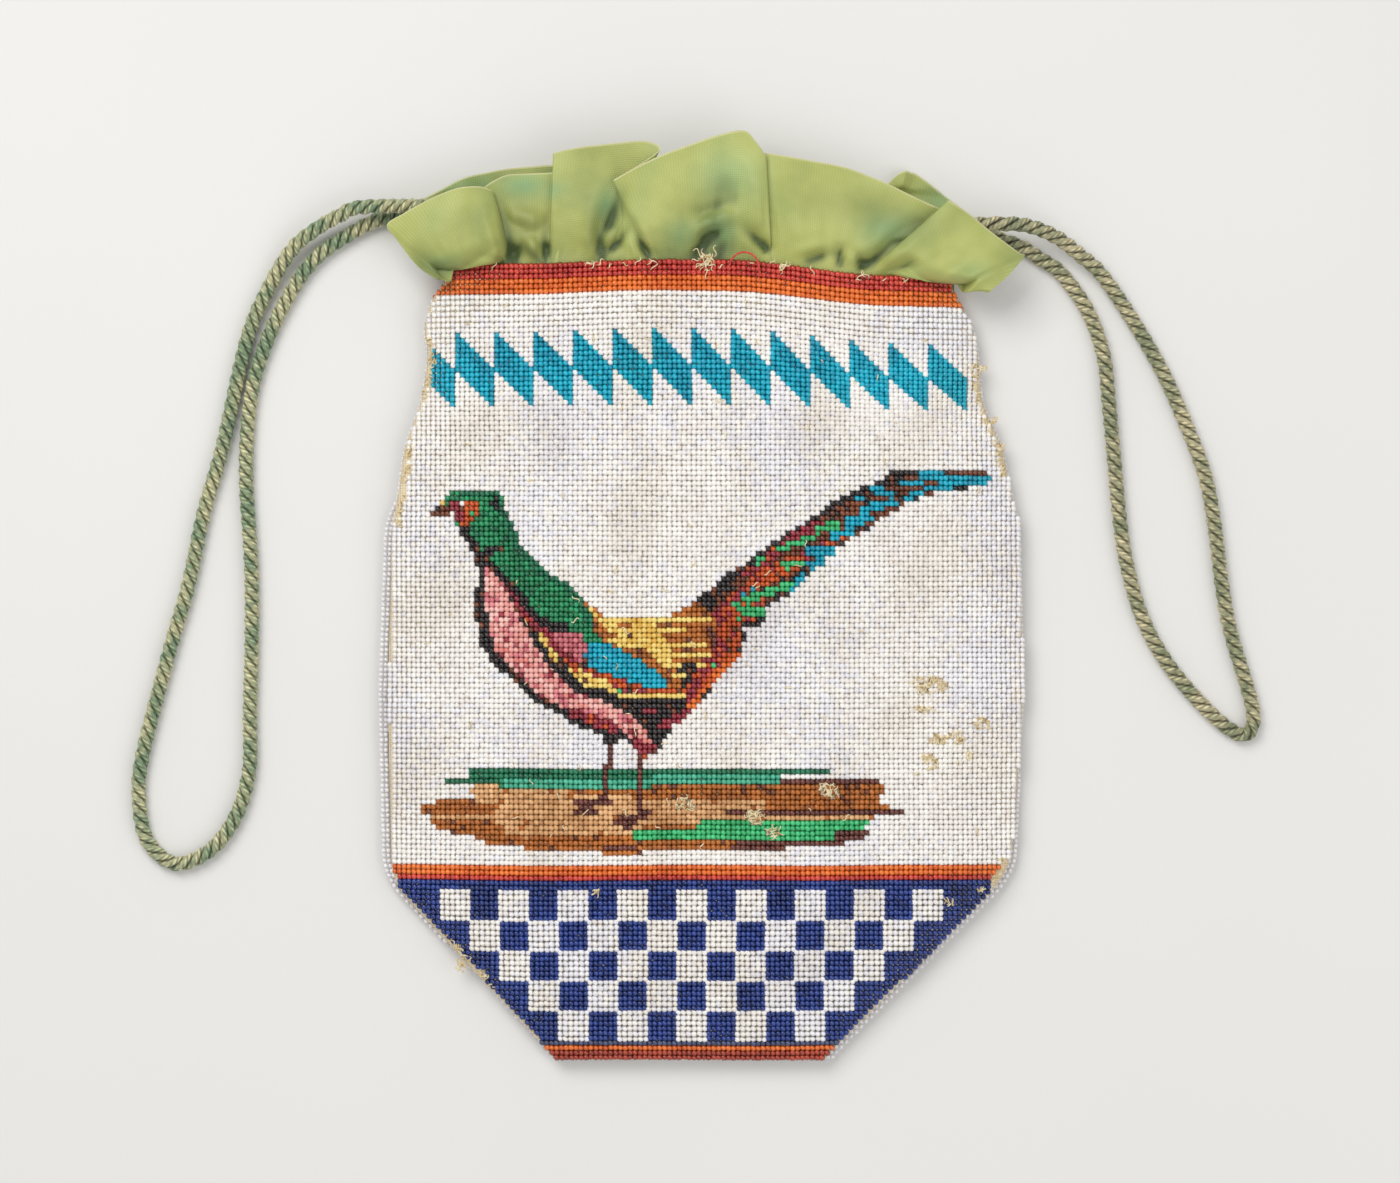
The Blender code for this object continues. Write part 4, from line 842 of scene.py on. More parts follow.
# Every shape on the front, in beads right of and above the middle, each over the ones before it.
FIGURES = (
    Figure(Glass.BROWN, (
        (-53.5, -40), (-51.5, -40), (-46, -39.5), (-45, -38.5), (12, -36.5), (37, -36.5), (37, -37.5),
        (36, -41), (41, -42.5), (41, -43), (36, -43), (34.5, -43.5), (29, -48.5), (16.5, -49.5),
        (-12.5, -50.5), (-19.5, -50.5), (-35.5, -49.5), (-43.5, -49), (-45.5, -47.5), (-50, -47),
        (-54, -45.5), (-55, -44), (-55, -43), (-57, -42), (-57, -41.5), (-53.5, -41),
    )),
    Figure(Glass.TAN, (
        (-45.5, -37), (-41, -37), (-40, -38), (-26.5, -38.5), (-10, -38.5), (-12.5, -39.5), (8, -39.5),
        (13.5, -39.5), (13.5, -41.5), (34.5, -43), (34.5, -44), (0, -44), (-0.5, -45), (-12.5, -45.5),
        (-13.5, -47), (-35.5, -47.5), (-39.5, -46.5), (-42, -44), (-54, -44), (-55, -43), (-42, -43),
        (-41, -41.5), (-46, -41), (-46.5, -38.5),
    )),
    Figure(Glass.BROWN, (
        (-12.5, -36.5), (8, -36.5), (37, -36.5), (36, -41), (13.5, -41), (13, -39.5), (-12.5, -39.5),
        (-10, -39.5), (-10, -36.5),
    )),
    Figure(Glass.BROWN, ((-53.5, -40), (-51.5, -40), (-46, -39.5), (-45.5, -41), (-47, -41), (-52, -41))),
    Figure(Glass.BROWN, ((-57, -41.5), (-42, -41.5), (-42, -42.5), (-57, -42.5))),
    Figure(Glass.BROWN, (
        (-55, -44), (-42.5, -44), (-39.5, -45.5), (-42.5, -47.5), (-50, -47), (-54, -45.5),
    )),
    Figure(Glass.DEEP_GREEN, (
        (-47.5, -34), (12, -33.5), (17, -33.5), (17, -34), (26, -34.5), (26, -35), (16, -35.5), (16, -36.5),
        (-12.5, -36.5), (-9.5, -37), (-10, -38), (-40, -38), (-41.5, -37), (-46, -37),
    )),
    Figure(Glass.DEEP_GREEN, ((-51.5, -35.5), (-46, -35.5), (-46, -36.5), (-51.5, -36.5))),
    Figure(Glass.SEA_GREEN, (
        (-40.5, -36), (-10, -35.5), (-12.5, -34.5), (7, -34.5), (16, -35.5), (16, -36.5), (-10.5, -36.5),
        (-12.5, -37), (-10, -38), (-40, -38),
    )),
    Figure(Glass.MAROON, (
        (16, -35.5), (29, -35.5), (29, -36), (36, -36), (36, -36.5), (19.5, -37), (16, -36.5),
    )),
    Figure(Glass.MAROON, (
        (13, -41.5), (16.5, -41.5), (36, -41.5), (36, -42), (41, -42.5), (41, -43), (12, -43),
    )),
    Figure(Glass.LEAF_GREEN, (
        (0, -44), (23.5, -44), (34, -44), (34, -45), (32, -46), (27, -46), (27, -47.5), (13.5, -48),
        (13, -47.5), (-12.5, -47.5), (-13.5, -47.5), (-13.5, -45.5), (-1, -45.5), (-0.5, -45.5),
    )),
    Figure(Glass.MAROON, (
        (27, -46), (34, -46), (34, -46.5), (32.5, -47.5), (29, -48.5), (16.5, -49), (16.5, -50),
        (-12.5, -50.5), (-19.5, -50), (-19.5, -49), (-13.5, -49), (-12.5, -49.5), (6.5, -49.5), (8, -48),
        (27, -48),
    )),
    *strokes(Glass.MAROON, 1.0, ((5.5, -43), (9, -43)), ((-12.5, -43), (-10.5, -43))),
    *strokes(
        Glass.MAROON, 1.1,
        ((-18.5, -28.5), (-18.5, -32), (-19.5, -34), (-19.5, -40)), ((-12.5, -31.5), (-12.5, -43)),
    ),
    Figure(Glass.MAROON, (
        (-26.5, -40.5), (-25, -39.5), (-22, -40), (-20, -39), (-17.5, -40), (-19.5, -41), (-22.5, -41.5),
        (-20.5, -43), (-24, -42.5), (-26, -43.5), (-25, -41),
    )),
    Figure(Glass.MAROON, (
        (-18, -44.5), (-16.5, -43), (-13.5, -42.5), (-12.5, -42), (-10, -43), (-12.5, -44), (-13.5, -45.5),
        (-15.5, -45.5), (-16, -44.5),
    )),
    Figure(Glass.BLACK, (
        (-2, -3), (-2, -1), (0.5, 0.5), (2.5, 2), (5, 4.5), (9.5, 6.5), (12.5, 9.5), (16.5, 12),
        (20.5, 14.5), (23, 16), (26, 18.5), (29.5, 20), (33, 22), (36, 23), (39, 25), (48.5, 25),
        (58.5, 25.5), (58.5, 24), (57, 22.5), (53, 21), (48.5, 21), (45, 20), (41, 18.5), (40, 17.5),
        (37, 16), (33.5, 13.5), (31.5, 12.5), (28.5, 10.5), (26, 8), (22.5, 5), (20, 3), (18, 0.5),
        (13.5, -1.5), (13, -4.5), (11.5, -6), (8, -6), (9, -8.5), (7, -11.5), (5, -13), (4, -15), (2, -18),
        (-1, -21), (-5, -24.5), (-9.5, -31), (-12.5, -24.5), (-2.5, -8.5),
    )),
    Figure(Glass.UMBER, (
        (-0.5, -3), (5, 1.5), (10.5, 6), (17, 10.5), (23.5, 14), (27.5, 18), (32.5, 20.5), (37, 21.5),
        (41, 23.5), (49.5, 25), (58, 25), (58.5, 24.5), (55.5, 22.5), (48.5, 21), (41, 19), (39, 17),
        (33.5, 14), (29, 11), (26, 8.5), (20, 3.5), (17.5, 1), (13.5, -1), (12.5, -4), (8, -5.5),
        (-0.5, -10.5),
    )),
    Figure(Glass.RUST, (
        (-0.5, -5.5), (3.5, -2), (8, 2), (12, 5.5), (20, 8.5), (27, 12.5), (31.5, 14.5), (30, 12.5),
        (26, 9.5), (21, 6), (19, 3.5), (13.5, 0), (12.5, -4), (8, -5.5), (8, -9), (5, -12.5), (2, -17),
        (-1, -20.5), (-4.5, -24), (-6, -22), (-1, -14.5), (2, -9.5),
    )),
    Figure(Glass.CRIMSON, (
        (13.5, 9), (20.5, 14), (25, 15.5), (27, 14), (22.5, 12), (17, 9.5), (10, 3.5), (7.5, 4),
    )),
    Figure(Glass.CRIMSON, (
        (0, -10), (4.5, -8.5), (4, -11), (2, -14), (-0.5, -18), (-4, -22.5), (-7, -23.5), (-2.5, -18.5),
        (-0.5, -14),
    )),
    Figure(Glass.CRIMSON, ((1, -4), (4, -2.5), (5, -5), (2, -7))),
    Figure(Glass.CRIMSON, ((5.5, -2), (8, 1)), 1.0),
    Figure(Glass.UMBER, ((10, -0.5), (18, 3.5), (22.5, 6)), 1.0),
    Figure(Glass.BLACK, ((14, 0), (20, 4)), 1.0),
    *strokes(
        Glass.TEAL, 1.0,
        ((45.5, 21.5), (53, 22)), ((40, 22), (44, 22.5)), ((41, 19.5), (44.5, 20.5)),
        ((31.5, 19), (32.5, 19)), ((36, 18.5), (39.5, 18)),
    ),
    *strokes(Glass.TEAL, 1.1, ((8, 0),), ((10, 1.5),)),
    *strokes(Glass.TEAL, 1.4, ((35, 21), (38, 20)), ((32.5, 17), (36.5, 18))),
    *strokes(
        Glass.TEAL, 1.6,
        ((44.5, 23.5), (57.5, 23)), ((26.5, 11.5), (30, 13)), ((21.5, 8.5), (26, 9)), ((22, 6), (24, 7)),
        ((18.5, 2), (20, 3.5)),
    ),
    Figure(Glass.TEAL, ((29.5, 14.5), (33.5, 15.5)), 1.8),
    *strokes(
        Glass.LEAF_GREEN, 1.0,
        ((15, 9), (22.5, 11.5)), ((16.5, 6), (20.5, 6.5)), ((11, 6.5), (12, 7)), ((6.5, -2), (7, -2)),
    ),
    *strokes(Glass.LEAF_GREEN, 1.4, ((23.5, 13), (27, 14)), ((9, -1), (17.5, 2))),
    Figure(Glass.LEAF_GREEN, ((8, -3), (12, -3)), 1.8),
    Figure(Glass.ORANGE, ((7, -11.5), (-0.5, -19.5), (-4, -24)), 1.0),
    Figure(Glass.BLACK, (
        (-49.5, 14.5), (-47.5, 11.5), (-46, 9.5), (-46, 7), (-45, 5.5), (-45.5, 2), (-46, -2.5),
        (-45, -6.5), (-44.5, -10), (-42, -13.5), (-38, -16.5), (-34.5, -20), (-30, -22.5), (-25, -25.5),
        (-20.5, -27), (-19.5, -29), (-17.5, -29), (-16, -28), (-13.5, -29), (-11.5, -28.5), (-8.5, -26.5),
        (-6, -25.5), (-3, -21.5), (-3.5, -20), (-6.5, -17), (-24, -6.5), (-30, -6.5), (-33.5, -4.5),
        (-42, 4.5), (-46, 12.5),
    )),
    Figure(Glass.PINK, (
        (-44, 6.5), (-44, 2), (-43.5, -2.5), (-43, -6.5), (-42, -10), (-39.5, -13), (-37, -15.5),
        (-34.5, -18), (-32, -20), (-29, -21.5), (-25, -22.5), (-22, -23.5), (-18.5, -25), (-16.5, -26),
        (-14, -28), (-12.5, -29.5), (-11.5, -29), (-11, -27), (-13.5, -24), (-16.5, -22), (-19.5, -20.5),
        (-22.5, -19.5), (-25.5, -18.5), (-29, -16), (-31, -13.5), (-33, -10.5), (-35, -7), (-37, -4),
        (-38.5, -0.5), (-41, 3.5), (-42, 5.5),
    )),
    Figure(Glass.CRIMSON, (
        (-40.5, 3), (-38, 1), (-35, -2.5), (-33, -5), (-29, -6.5), (-29, -9.5), (-26, -11.5), (-24, -13),
        (-25, -14), (-29, -11.5), (-32, -9), (-33.5, -7), (-36, -5), (-37, -2.5),
    )),
    Figure(Glass.CRIMSON, ((-26.5, -23), (-22, -24.5), (-18, -26)), 2.0),
    Figure(Glass.CRIMSON, ((-44, 6), (-43.5, 6.5)), 1.0),
    Figure(Glass.SCARLET, ((-45.5, 8), (-45, 8)), 1.0),
    Figure(Glass.ROSE, (
        (-29.5, -7), (-26.5, -6), (-23.5, -6.5), (-23.5, -9), (-23, -11.5), (-24.5, -13), (-27, -11),
        (-29.5, -9),
    )),
    Figure(Glass.CRIMSON, (
        (-17.5, -27), (-14, -27.5), (-13.5, -29.5), (-12, -32), (-10.5, -31), (-9, -29.5), (-11.5, -27.5),
        (-11.5, -26), (-7, -26), (-5, -25), (-1, -22), (-3, -21.5), (-6.5, -22), (-9.5, -26), (-12, -26),
        (-15, -26.5),
    )),
    Figure(Glass.PINK, ((-22, -20.5), (-17, -23.5), (-13.5, -25.5), (-11.5, -28.5)), 1.4),
    Figure(Glass.BROWN, (
        (-25.5, -0.5), (-22, -2), (-18, -4.5), (-14, -4.5), (-9, -4), (-6.5, -4), (-2.5, -1.5), (-1, -1),
        (2, -2.5), (3.5, -6.5), (2.5, -9.5), (0, -12.5), (-3.5, -16.5), (-3.5, -18.5), (-6.5, -18.5),
        (-7.5, -15.5), (-12.5, -13.5), (-19.5, -9), (-23, -5.5),
    )),
    Figure(Glass.YELLOW, (
        (-13.5, -4.5), (-11.5, -4), (-9, -4), (-8.5, -5), (-8.5, -7), (-6.5, -9), (-6, -11.5),
        (-5.5, -13.5), (-7, -14), (-9, -13), (-10, -11.5), (-12, -9.5), (-14, -7), (-14.5, -6),
    )),
    *strokes(
        Glass.YELLOW, 1.0,
        ((-9, -5), (1, -5)), ((-8.5, -7), (-3.5, -7)), ((-6.5, -10), (0.5, -10)), ((-6, -12), (1, -11.5)),
        ((-6, -13.5), (0, -13.5)), ((-5.5, -15.5), (-4, -15.5)), ((-18.5, -4.5), (-13.5, -4.5)),
        ((-19.5, -6), (-14.5, -7)), ((-18.5, -9), (-13.5, -9)), ((-16.5, -10), (-10, -10)),
    ),
    Figure(Glass.YELLOW, ((-23, -3), (-17, -7.5), (-13.5, -9.5)), 0.9),
    Figure(Glass.MAROON, ((1.5, -6.5), (2.5, -9.5)), 1.0),
    Figure(Glass.BLACK, ((-1, -1), (0, 0.5), (3.5, 1.5), (3.5, -1), (2, -3))),
    Figure(Glass.BLACK, ((-5, -14.5), (-2, -14)), 1.0),
    Figure(Glass.RUST, (
        (-28, -12), (-24, -13.5), (-19.5, -15), (-15, -16.5), (-12, -17.5), (-3.5, -17.5), (-3.5, -19),
        (-17, -19), (-19.5, -17.5), (-24, -16), (-27, -14),
    )),
    Figure(Glass.BROWN, (
        (-19.5, -9), (-14.5, -11.5), (-11.5, -13), (-6.5, -16), (-3.5, -16.5), (-3.5, -18), (-6.5, -17.5),
        (-9.5, -15.5), (-15.5, -12.5),
    )),
    Figure(Glass.TEAL, (
        (-23, -8.5), (-19.5, -8.5), (-14.5, -11), (-11.5, -13), (-7, -16), (-6.5, -17.5), (-12, -17.5),
        (-15, -16.5), (-19.5, -15), (-23, -13.5), (-23.5, -11.5),
    )),
    Figure(Glass.YELLOW, (
        (-33, -7.5), (-32, -9.5), (-30.5, -11), (-29.5, -13), (-27.5, -15), (-25.5, -16.5), (-24, -17.5),
        (-19.5, -18), (-17, -20), (-3.5, -20),
    ), 1.2),
    Figure(Glass.YELLOW, ((-25, -15), (-22, -16.5), (-18.5, -17.5)), 1.0),
    Figure(Glass.BLACK, ((-29.5, -14), (-27, -16.5), (-24.5, -18.5), (-18.5, -20)), 1.5),
    Figure(Glass.BLACK, (
        (-17.5, -20.5), (-3, -20.5), (-3.5, -22), (-7, -24), (-9.5, -26), (-12, -24), (-14, -22),
    )),
    Figure(Glass.CRIMSON, ((-12, -22.5), (-10, -23)), 1.0),
    Figure(Glass.GREEN, (
        (-51.5, 20.5), (-49.5, 21), (-43, 20.5), (-43, 19.5), (-40, 20), (-41, 18.5), (-41.5, 16.5),
        (-39.5, 14.5), (-37.5, 10), (-35, 7), (-32, 4), (-28.5, 2), (-25.5, -0.5), (-25, -2.5), (-23, -5),
        (-19.5, -8.5), (-22, -9), (-23.5, -8.5), (-23.5, -6.5), (-28, -6.5), (-31, -6), (-33.5, -4.5),
        (-35.5, -2.5), (-38, 1.5), (-40.5, 3.5), (-42.5, 5.5), (-45, 7), (-46, 9.5), (-47.5, 11.5),
        (-49.5, 14.5), (-50, 17.5), (-51.5, 18.5),
    )),
    Figure(Glass.GREEN, ((-43.5, 20), (-40.5, 20), (-39.5, 14), (-42.5, 13))),
    Figure(Glass.BLACK, (
        (-49, 14), (-47.5, 11.5), (-46, 9.5), (-45.5, 7.5), (-42, 5.5), (-39.5, 2.5), (-37.5, 1),
        (-35.5, -2.5), (-33.5, -4.5), (-31, -6), (-27.5, -6.5),
    ), 1.3),
    Figure(Glass.DEEP_GREEN, (
        (-41, 18), (-39.5, 14.5), (-37.5, 10), (-35, 7), (-32, 4), (-28.5, 2), (-25.5, -0.5), (-22.5, -5.5),
    ), 1.2),
    Figure(Glass.BLACK, ((-46, 8.5), (-41, 9)), 1.0),
    Figure(Glass.BLACK, ((-42.5, 18.5), (-41.5, 20), (-41, 17), (-42, 17))),
    Figure(Glass.DEEP_GREEN, ((-49.5, 20.5), (-43, 20.5), (-40, 20)), 1.0),
    Figure(Glass.CRIMSON, (
        (-50.5, 20), (-48.5, 19.5), (-48.5, 17.5), (-46.5, 15), (-48.5, 14), (-50, 15.5), (-50.5, 17.5),
    )),
    Figure(Glass.RUST, (
        (-48.5, 19.5), (-46, 19.5), (-45, 18.5), (-45, 17), (-46, 15), (-47.5, 14.5), (-48.5, 17.5),
    )),
    Figure(Glass.WHITE, ((-48.75, 18.25),), 0.5),
    Figure(Glass.YELLOW, ((-52.5, 19.5), (-52, 19.5), (-51.5, 17), (-52.5, 17))),
    Figure(Glass.WHITE, ((-41, 20), (-41, 21), (-38.5, 21), (-38.5, 20))),
    Figure(Glass.GREEN, ((-51.5, 19), (-51.5, 20), (-50, 21), (-49, 21), (-49, 20), (-50, 19))),
    Figure(Glass.UMBER, ((-55, 16), (-55, 17), (-53, 18), (-51, 18), (-51, 16))),
)


class Zone(Enum):
    """Parts of the beadwork that are pieces of their own."""

    RIM = "front_rim_beads"
    UPPER_FIELD = "front_upper_field_beads"
    BLOCKS = "front_block_beads"
    BIRD = "front_bird_beads"
    GROUND = "front_ground_beads"
    LOWER_FIELD = "front_lower_field_beads"
    BORDER = "front_border_beads"
    FOOT = "front_foot_beads"
    SQUARES = "front_square_beads"
    HEM = "front_hem_beads"


@dataclass(frozen=True)
class Spot:
    """An oval where the thread has worn: its middle, its reach each way, and the share of beads lost."""

    x: float
    y: float
    reach_x: float
    reach_y: float
    lost: float = 0.35

    def depth(self, x: Points, y: Points) -> Points:
        """Say how deep in the oval a place is, from 1 in the middle to 0 on its edge and beyond."""
        return np.clip(1 - ((x - self.x) / self.reach_x) ** 2 - ((y - self.y) / self.reach_y) ** 2, 0, 1)


# Where the sewing thread has worn and shows among the beads, from top to bottom
WORN_SPOTS = (
    Spot(70.5, -27.4, 5.6, 2.9),
    Spot(69.0, -34.9, 4.0, 0.8),
    Spot(87.4, -39.4, 2.6, 2.2),
    Spot(76.4, -44.0, 5.6, 1.9),
    Spot(69.9, -49.6, 1.9, 0.6),
    Spot(39.2, -60.3, 1.2, 1.1),
    Spot(16.9, -67.4, 1.2, 1.1),
    Spot(-32.4, -91.5, 1.2, 0.9),
    Spot(77.0, -94.9, 1.2, 0.9),
    Spot(-74.9, -115.6, 1.2, 1.2),
    Spot(71.3, -51.6, 2.6, 2.0),
    Spot(82.9, -49.3, 1.2, 1.2),
    Spot(-5.3, -64.2, 3.3, 2.2),
    Spot(16.9, -67.9, 2.8, 2.5),
    Spot(39.2, -60.1, 3.1, 2.5),
    Spot(22.5, -73.0, 2.8, 1.7),
)

# Where a side seam has worn back: lowest y, highest y, side, and greatest depth
WORN_SEAMS = (
    (60.0, 82.0, LEFT, 1.2),
    (22.0, 47.0, LEFT, 1.8),
    (36.0, 75.0, RIGHT, 1.4),
    (-92.0, -80.0, RIGHT, 3.2),
    (-122.0, -104.0, LEFT, 1.8),
)


@dataclass(frozen=True)
class BeadChart:
    """The front's chart: coloured bands, slanted blocks, squares, the bird and its ground, in beads."""

    rim_orange_row: int = 63
    field_row: int = 60
    border_row: int = -53
    border_red_row: int = -55
    foot_row: int = -56
    slate_row: int = -88
    hem_orange_row: int = -89
    hem_maroon_row: int = -90
    below_all: int = -1000
    block_columns: int = 8
    block_rows: int = 8
    block_fall: int = 7
    first_block: int = -50
    block_top: int = 53
    part_block_columns: int = 5
    last_block: int = 46
    last_block_columns: int = 8
    square_beads: int = 6
    square_step: int = 12
    squares_in_rows: tuple[int, ...] = (9, 8, 7, 6, 5)
    squares_top: int = -58
    square_swell: float = 0.08
    squares_middle: int = -2
    ground_row: int = -33
    halves_row: int = 20
    specks: tuple[tuple[Glass, Glass, float], ...] = (
        (Glass.PINK, Glass.ROSE, 0.16),
        (Glass.PINK, Glass.CRIMSON, 0.07),
        (Glass.RUST, Glass.CRIMSON, 0.16),
        (Glass.RUST, Glass.UMBER, 0.14),
        (Glass.RUST, Glass.LEAF_GREEN, 0.03),
        (Glass.CRIMSON, Glass.RUST, 0.12),
        (Glass.BLACK, Glass.UMBER, 0.10),
        (Glass.UMBER, Glass.BLACK, 0.14),
        (Glass.BROWN, Glass.UMBER, 0.07),
        (Glass.TAN, Glass.BROWN, 0.05),
        (Glass.GREEN, Glass.DEEP_GREEN, 0.10),
    )
    seed: int = 17

    def in_blocks(self, column: Points, row: Points) -> Points:
        """Say which beads the slanted blocks cover.

        Each block is as tall all along and falls by a set height over its width, so the place below
        the top, less the fall at that column, lies between 0 and the block's height.

        Args:
            column: the beads' places across, in beads.
            row: their places up, in beads.

        Returns:
            True for each bead that is covered.
        """
        place = column - self.first_block
        across = np.mod(place, self.block_columns)
        fallen = np.round(across * self.block_fall / self.block_columns)
        below = self.block_top - row - fallen
        wide = (place > -self.part_block_columns) & (column < self.last_block + self.last_block_columns)
        return wide & (below > 0) & (below < self.block_rows)

    def in_squares(self, column: Points, row: Points) -> tuple[Points, Points, Points]:
        """Find the white squares.

        Args:
            column: the beads' places across, in beads.
            row: their places up, in beads.

        Returns:
            Each bead's depth in beads inside the nearest square, or 0 outside them all, and its places
            right of and above that square's middle.
        """
        order = np.floor((self.squares_top - row) / self.square_beads)
        known = (order >= 0) & (order < len(self.squares_in_rows))
        count = np.array(self.squares_in_rows)[np.clip(order, 0, len(self.squares_in_rows) - 1).astype(int)]
        half = self.square_beads / 2
        first = self.squares_middle - (count - 1) / 2 * self.square_step - half
        place = column - first
        across = np.mod(place, self.square_step)
        down = np.mod(self.squares_top - row, self.square_beads)
        side = np.minimum.reduce([across, self.square_beads - across, down, self.square_beads - down])
        inside = known & (place > 0) & (place < count * self.square_step) & (side > 0)
        places = (side, across - half, half - down)
        return tuple(np.where(inside, values, 0.0) for values in places)

    def paint(self, column: Points, row: Points) -> tuple[Points, Points]:
        """Give every bead its glass and its zone.

        Args:
            column: the beads' places across, in beads.
            row: their places up, in beads.

        Returns:
            The glass's and the zone's order in their Enums, one of each for every bead.
        """
        glasses, zones = list(Glass), list(Zone)
        steps = (
            (self.rim_orange_row, Glass.RED, Zone.RIM),
            (self.field_row, Glass.ORANGE, Zone.RIM),
            (self.halves_row, Glass.WHITE, Zone.UPPER_FIELD),
            (self.border_row, Glass.WHITE, Zone.LOWER_FIELD),
            (self.border_red_row, Glass.ORANGE, Zone.BORDER),
            (self.foot_row, Glass.RED, Zone.BORDER),
            (self.slate_row, Glass.NAVY, Zone.FOOT),
            (self.hem_orange_row, Glass.SLATE, Zone.FOOT),
            (self.hem_maroon_row, Glass.ORANGE, Zone.HEM),
            (self.below_all, Glass.BRICK, Zone.HEM),
        )
        limits = np.array([step[0] for step in steps])
        band = (row[:, None] < limits).sum(axis=1).clip(0, len(steps) - 1)
        glass = np.array([glasses.index(step[1]) for step in steps])[band]
        zone = np.array([zones.index(step[2]) for step in steps])[band]
        blocks = self.in_blocks(column, row)
        squares = self.in_squares(column, row)[0] > 0
        glass[blocks], zone[blocks] = glasses.index(Glass.TEAL), zones.index(Zone.BLOCKS)
        glass[squares], zone[squares] = glasses.index(Glass.WHITE), zones.index(Zone.SQUARES)
        for figure in FIGURES:
            covered = figure.covers(column, row)
            glass[covered] = glasses.index(figure.glass)
            above = row[covered] > self.ground_row
            zone[covered] = np.where(above, zones.index(Zone.BIRD), zones.index(Zone.GROUND))
        chance = np.random.default_rng(self.seed)
        drawn = (zone == zones.index(Zone.BIRD)) | (zone == zones.index(Zone.GROUND))
        for kind, speck, share in self.specks:
            chosen = drawn & (glass == glasses.index(kind)) & (chance.uniform(0, 1, len(row)) < share)
            glass[chosen] = glasses.index(speck)
        return glass, zone


# The beads


@dataclass(frozen=True)
class BeadForm:
    """The low-poly bead that is repeated: a rounded dome, closed underneath or rounded there too."""

    sides: int
    whole: bool = False
    shoulder: float = 0.76
    shoulder_height: float = 0.62
    waist: float = 1.25
    waist_height: float = -0.15

    def rings(self) -> tuple[Points, Points, Points]:
        """Work out the unit bead, whose top is at height 1 over rings of the shoulder and the waist.

        Returns:
            Its vertices, its flat list of face corners, and how many corners each face has.
        """
        turn = np.arange(self.sides) * 2 * math.pi / self.sides
        circle = np.stack([np.cos(turn), np.sin(turn)], axis=-1)
        profile = [(self.shoulder, self.shoulder_height), (self.waist, self.waist_height)]
        if self.whole:
            profile.append((self.shoulder, -self.shoulder_height))
        levels = [np.column_stack([circle * wide, np.full(self.sides, high)]) for wide, high in profile]
        tips = [[0, 0, 1]] + ([[0, 0, -1]] if self.whole else [])
        points = np.concatenate([np.array(tips, float), *levels])
        start, around = len(tips), np.arange(self.sides)
        after = (around + 1) % self.sides
        faces = [np.stack([np.zeros(self.sides, int), start + around, start + after], axis=-1).ravel()]
        totals = [np.full(self.sides, 3)]
        for level in range(len(levels) - 1):
            low, high = start + (level + 1) * self.sides, start + level * self.sides
            cells = [high + around, low + around, low + after, high + after]
            faces.append(np.stack(cells, axis=-1).ravel())
            totals.append(np.full(self.sides, 4))
        last = start + (len(levels) - 1) * self.sides
        if self.whole:
            faces.append(np.stack([last + after, last + around, np.ones(self.sides, int)], axis=-1).ravel())
            totals.append(np.full(self.sides, 3))
        else:
            faces.append(last + around[::-1])
            totals.append(np.array([self.sides]))
        return points, np.concatenate(faces), np.concatenate(totals)


@dataclass
class Beads:
    """A crowd of beads: where each one sits, which way is up for it, its size and its colour."""

    place: Points
    normal: Points
    colour: Points
    # How dark each bead's foot is painted: painted shade between the beads
    painted_foot_shade: Points
    long: float = 0.96
    short: float = 0.9
    height: float = 1.0
    slant: float = -45.0
    slant_spread: float = 7.0
    tilt: float = 0.06
    size_spread: float = 0.045
    jitter: float = 0.05
    jitter_up_share: float = 0.6
    unshaded_above: float = 0.5
    seed: int = 1

    def picked(self, chosen: Points) -> "Beads":
        """Return the beads that are chosen, each looking as it did."""
        own = {name: getattr(self, name)[chosen] for name in ("place", "normal", "colour", "painted_foot_shade")}
        return replace(self, **own)

    def build(
        self, name: str, form: BeadForm, slot: str, node: str, glass: bpy.types.Material
    ) -> bpy.types.Object:
        """Repeat the bead's form at every place as one mesh.

        Each vertex is the place plus the form's three directions, which are a slanting long side,
        the side across it and the normal, each times its own size. Sizes, slants and tilts vary a
        little, and the widest ring and all below it are painted darker, as painted shade between beads.

        Args:
            name: the piece's name.
            form: the unit bead.
            slot: not used.
            node: the solid that the piece stands for.
            glass: the beads' material.

        Returns:
            The finished piece.
        """
        unit_points, unit_corners, unit_totals = form.rings()
        count = len(self.place)
        draw = np.random.default_rng(self.seed)
        up = unit(self.normal + draw.normal(0, self.tilt, (count, 3)))
        angle = np.radians(self.slant + draw.normal(0, self.slant_spread, count))
        flat = np.stack([np.cos(angle), np.sin(angle), np.zeros(count)], axis=-1)
        side_a = unit(flat - up * (flat * up).sum(axis=1, keepdims=True))
        side_b = np.cross(up, side_a)
        size = draw.normal(1, self.size_spread, (count, 3))
        place = self.place + draw.normal(0, self.jitter, (count, 3)) * [1, 1, self.jitter_up_share]
        scaled = unit_points[None] * (size * [self.long, self.short, self.height])[:, None]
        spread = scaled[..., :1] * side_a[:, None] + scaled[..., 1:2] * side_b[:, None]
        points = place[:, None] + (spread + scaled[..., 2:] * up[:, None])
        corners = unit_corners[None] + (np.arange(count) * len(unit_points))[:, None]
        thing = write_mesh(name, points.reshape(-1, 3), corners.ravel(), np.tile(unit_totals, count))
        # Painted shade: the widest ring and everything below it take the bead's foot shade
        shade = np.where(unit_points[None, :, 2] > self.unshaded_above, 1.0, self.painted_foot_shade[:, None])
        colours = self.colour[:, None] * shade[..., None]
        store_colour(thing, "Glass", colours.reshape(-1, 3))
        return mount(thing, glass, node)


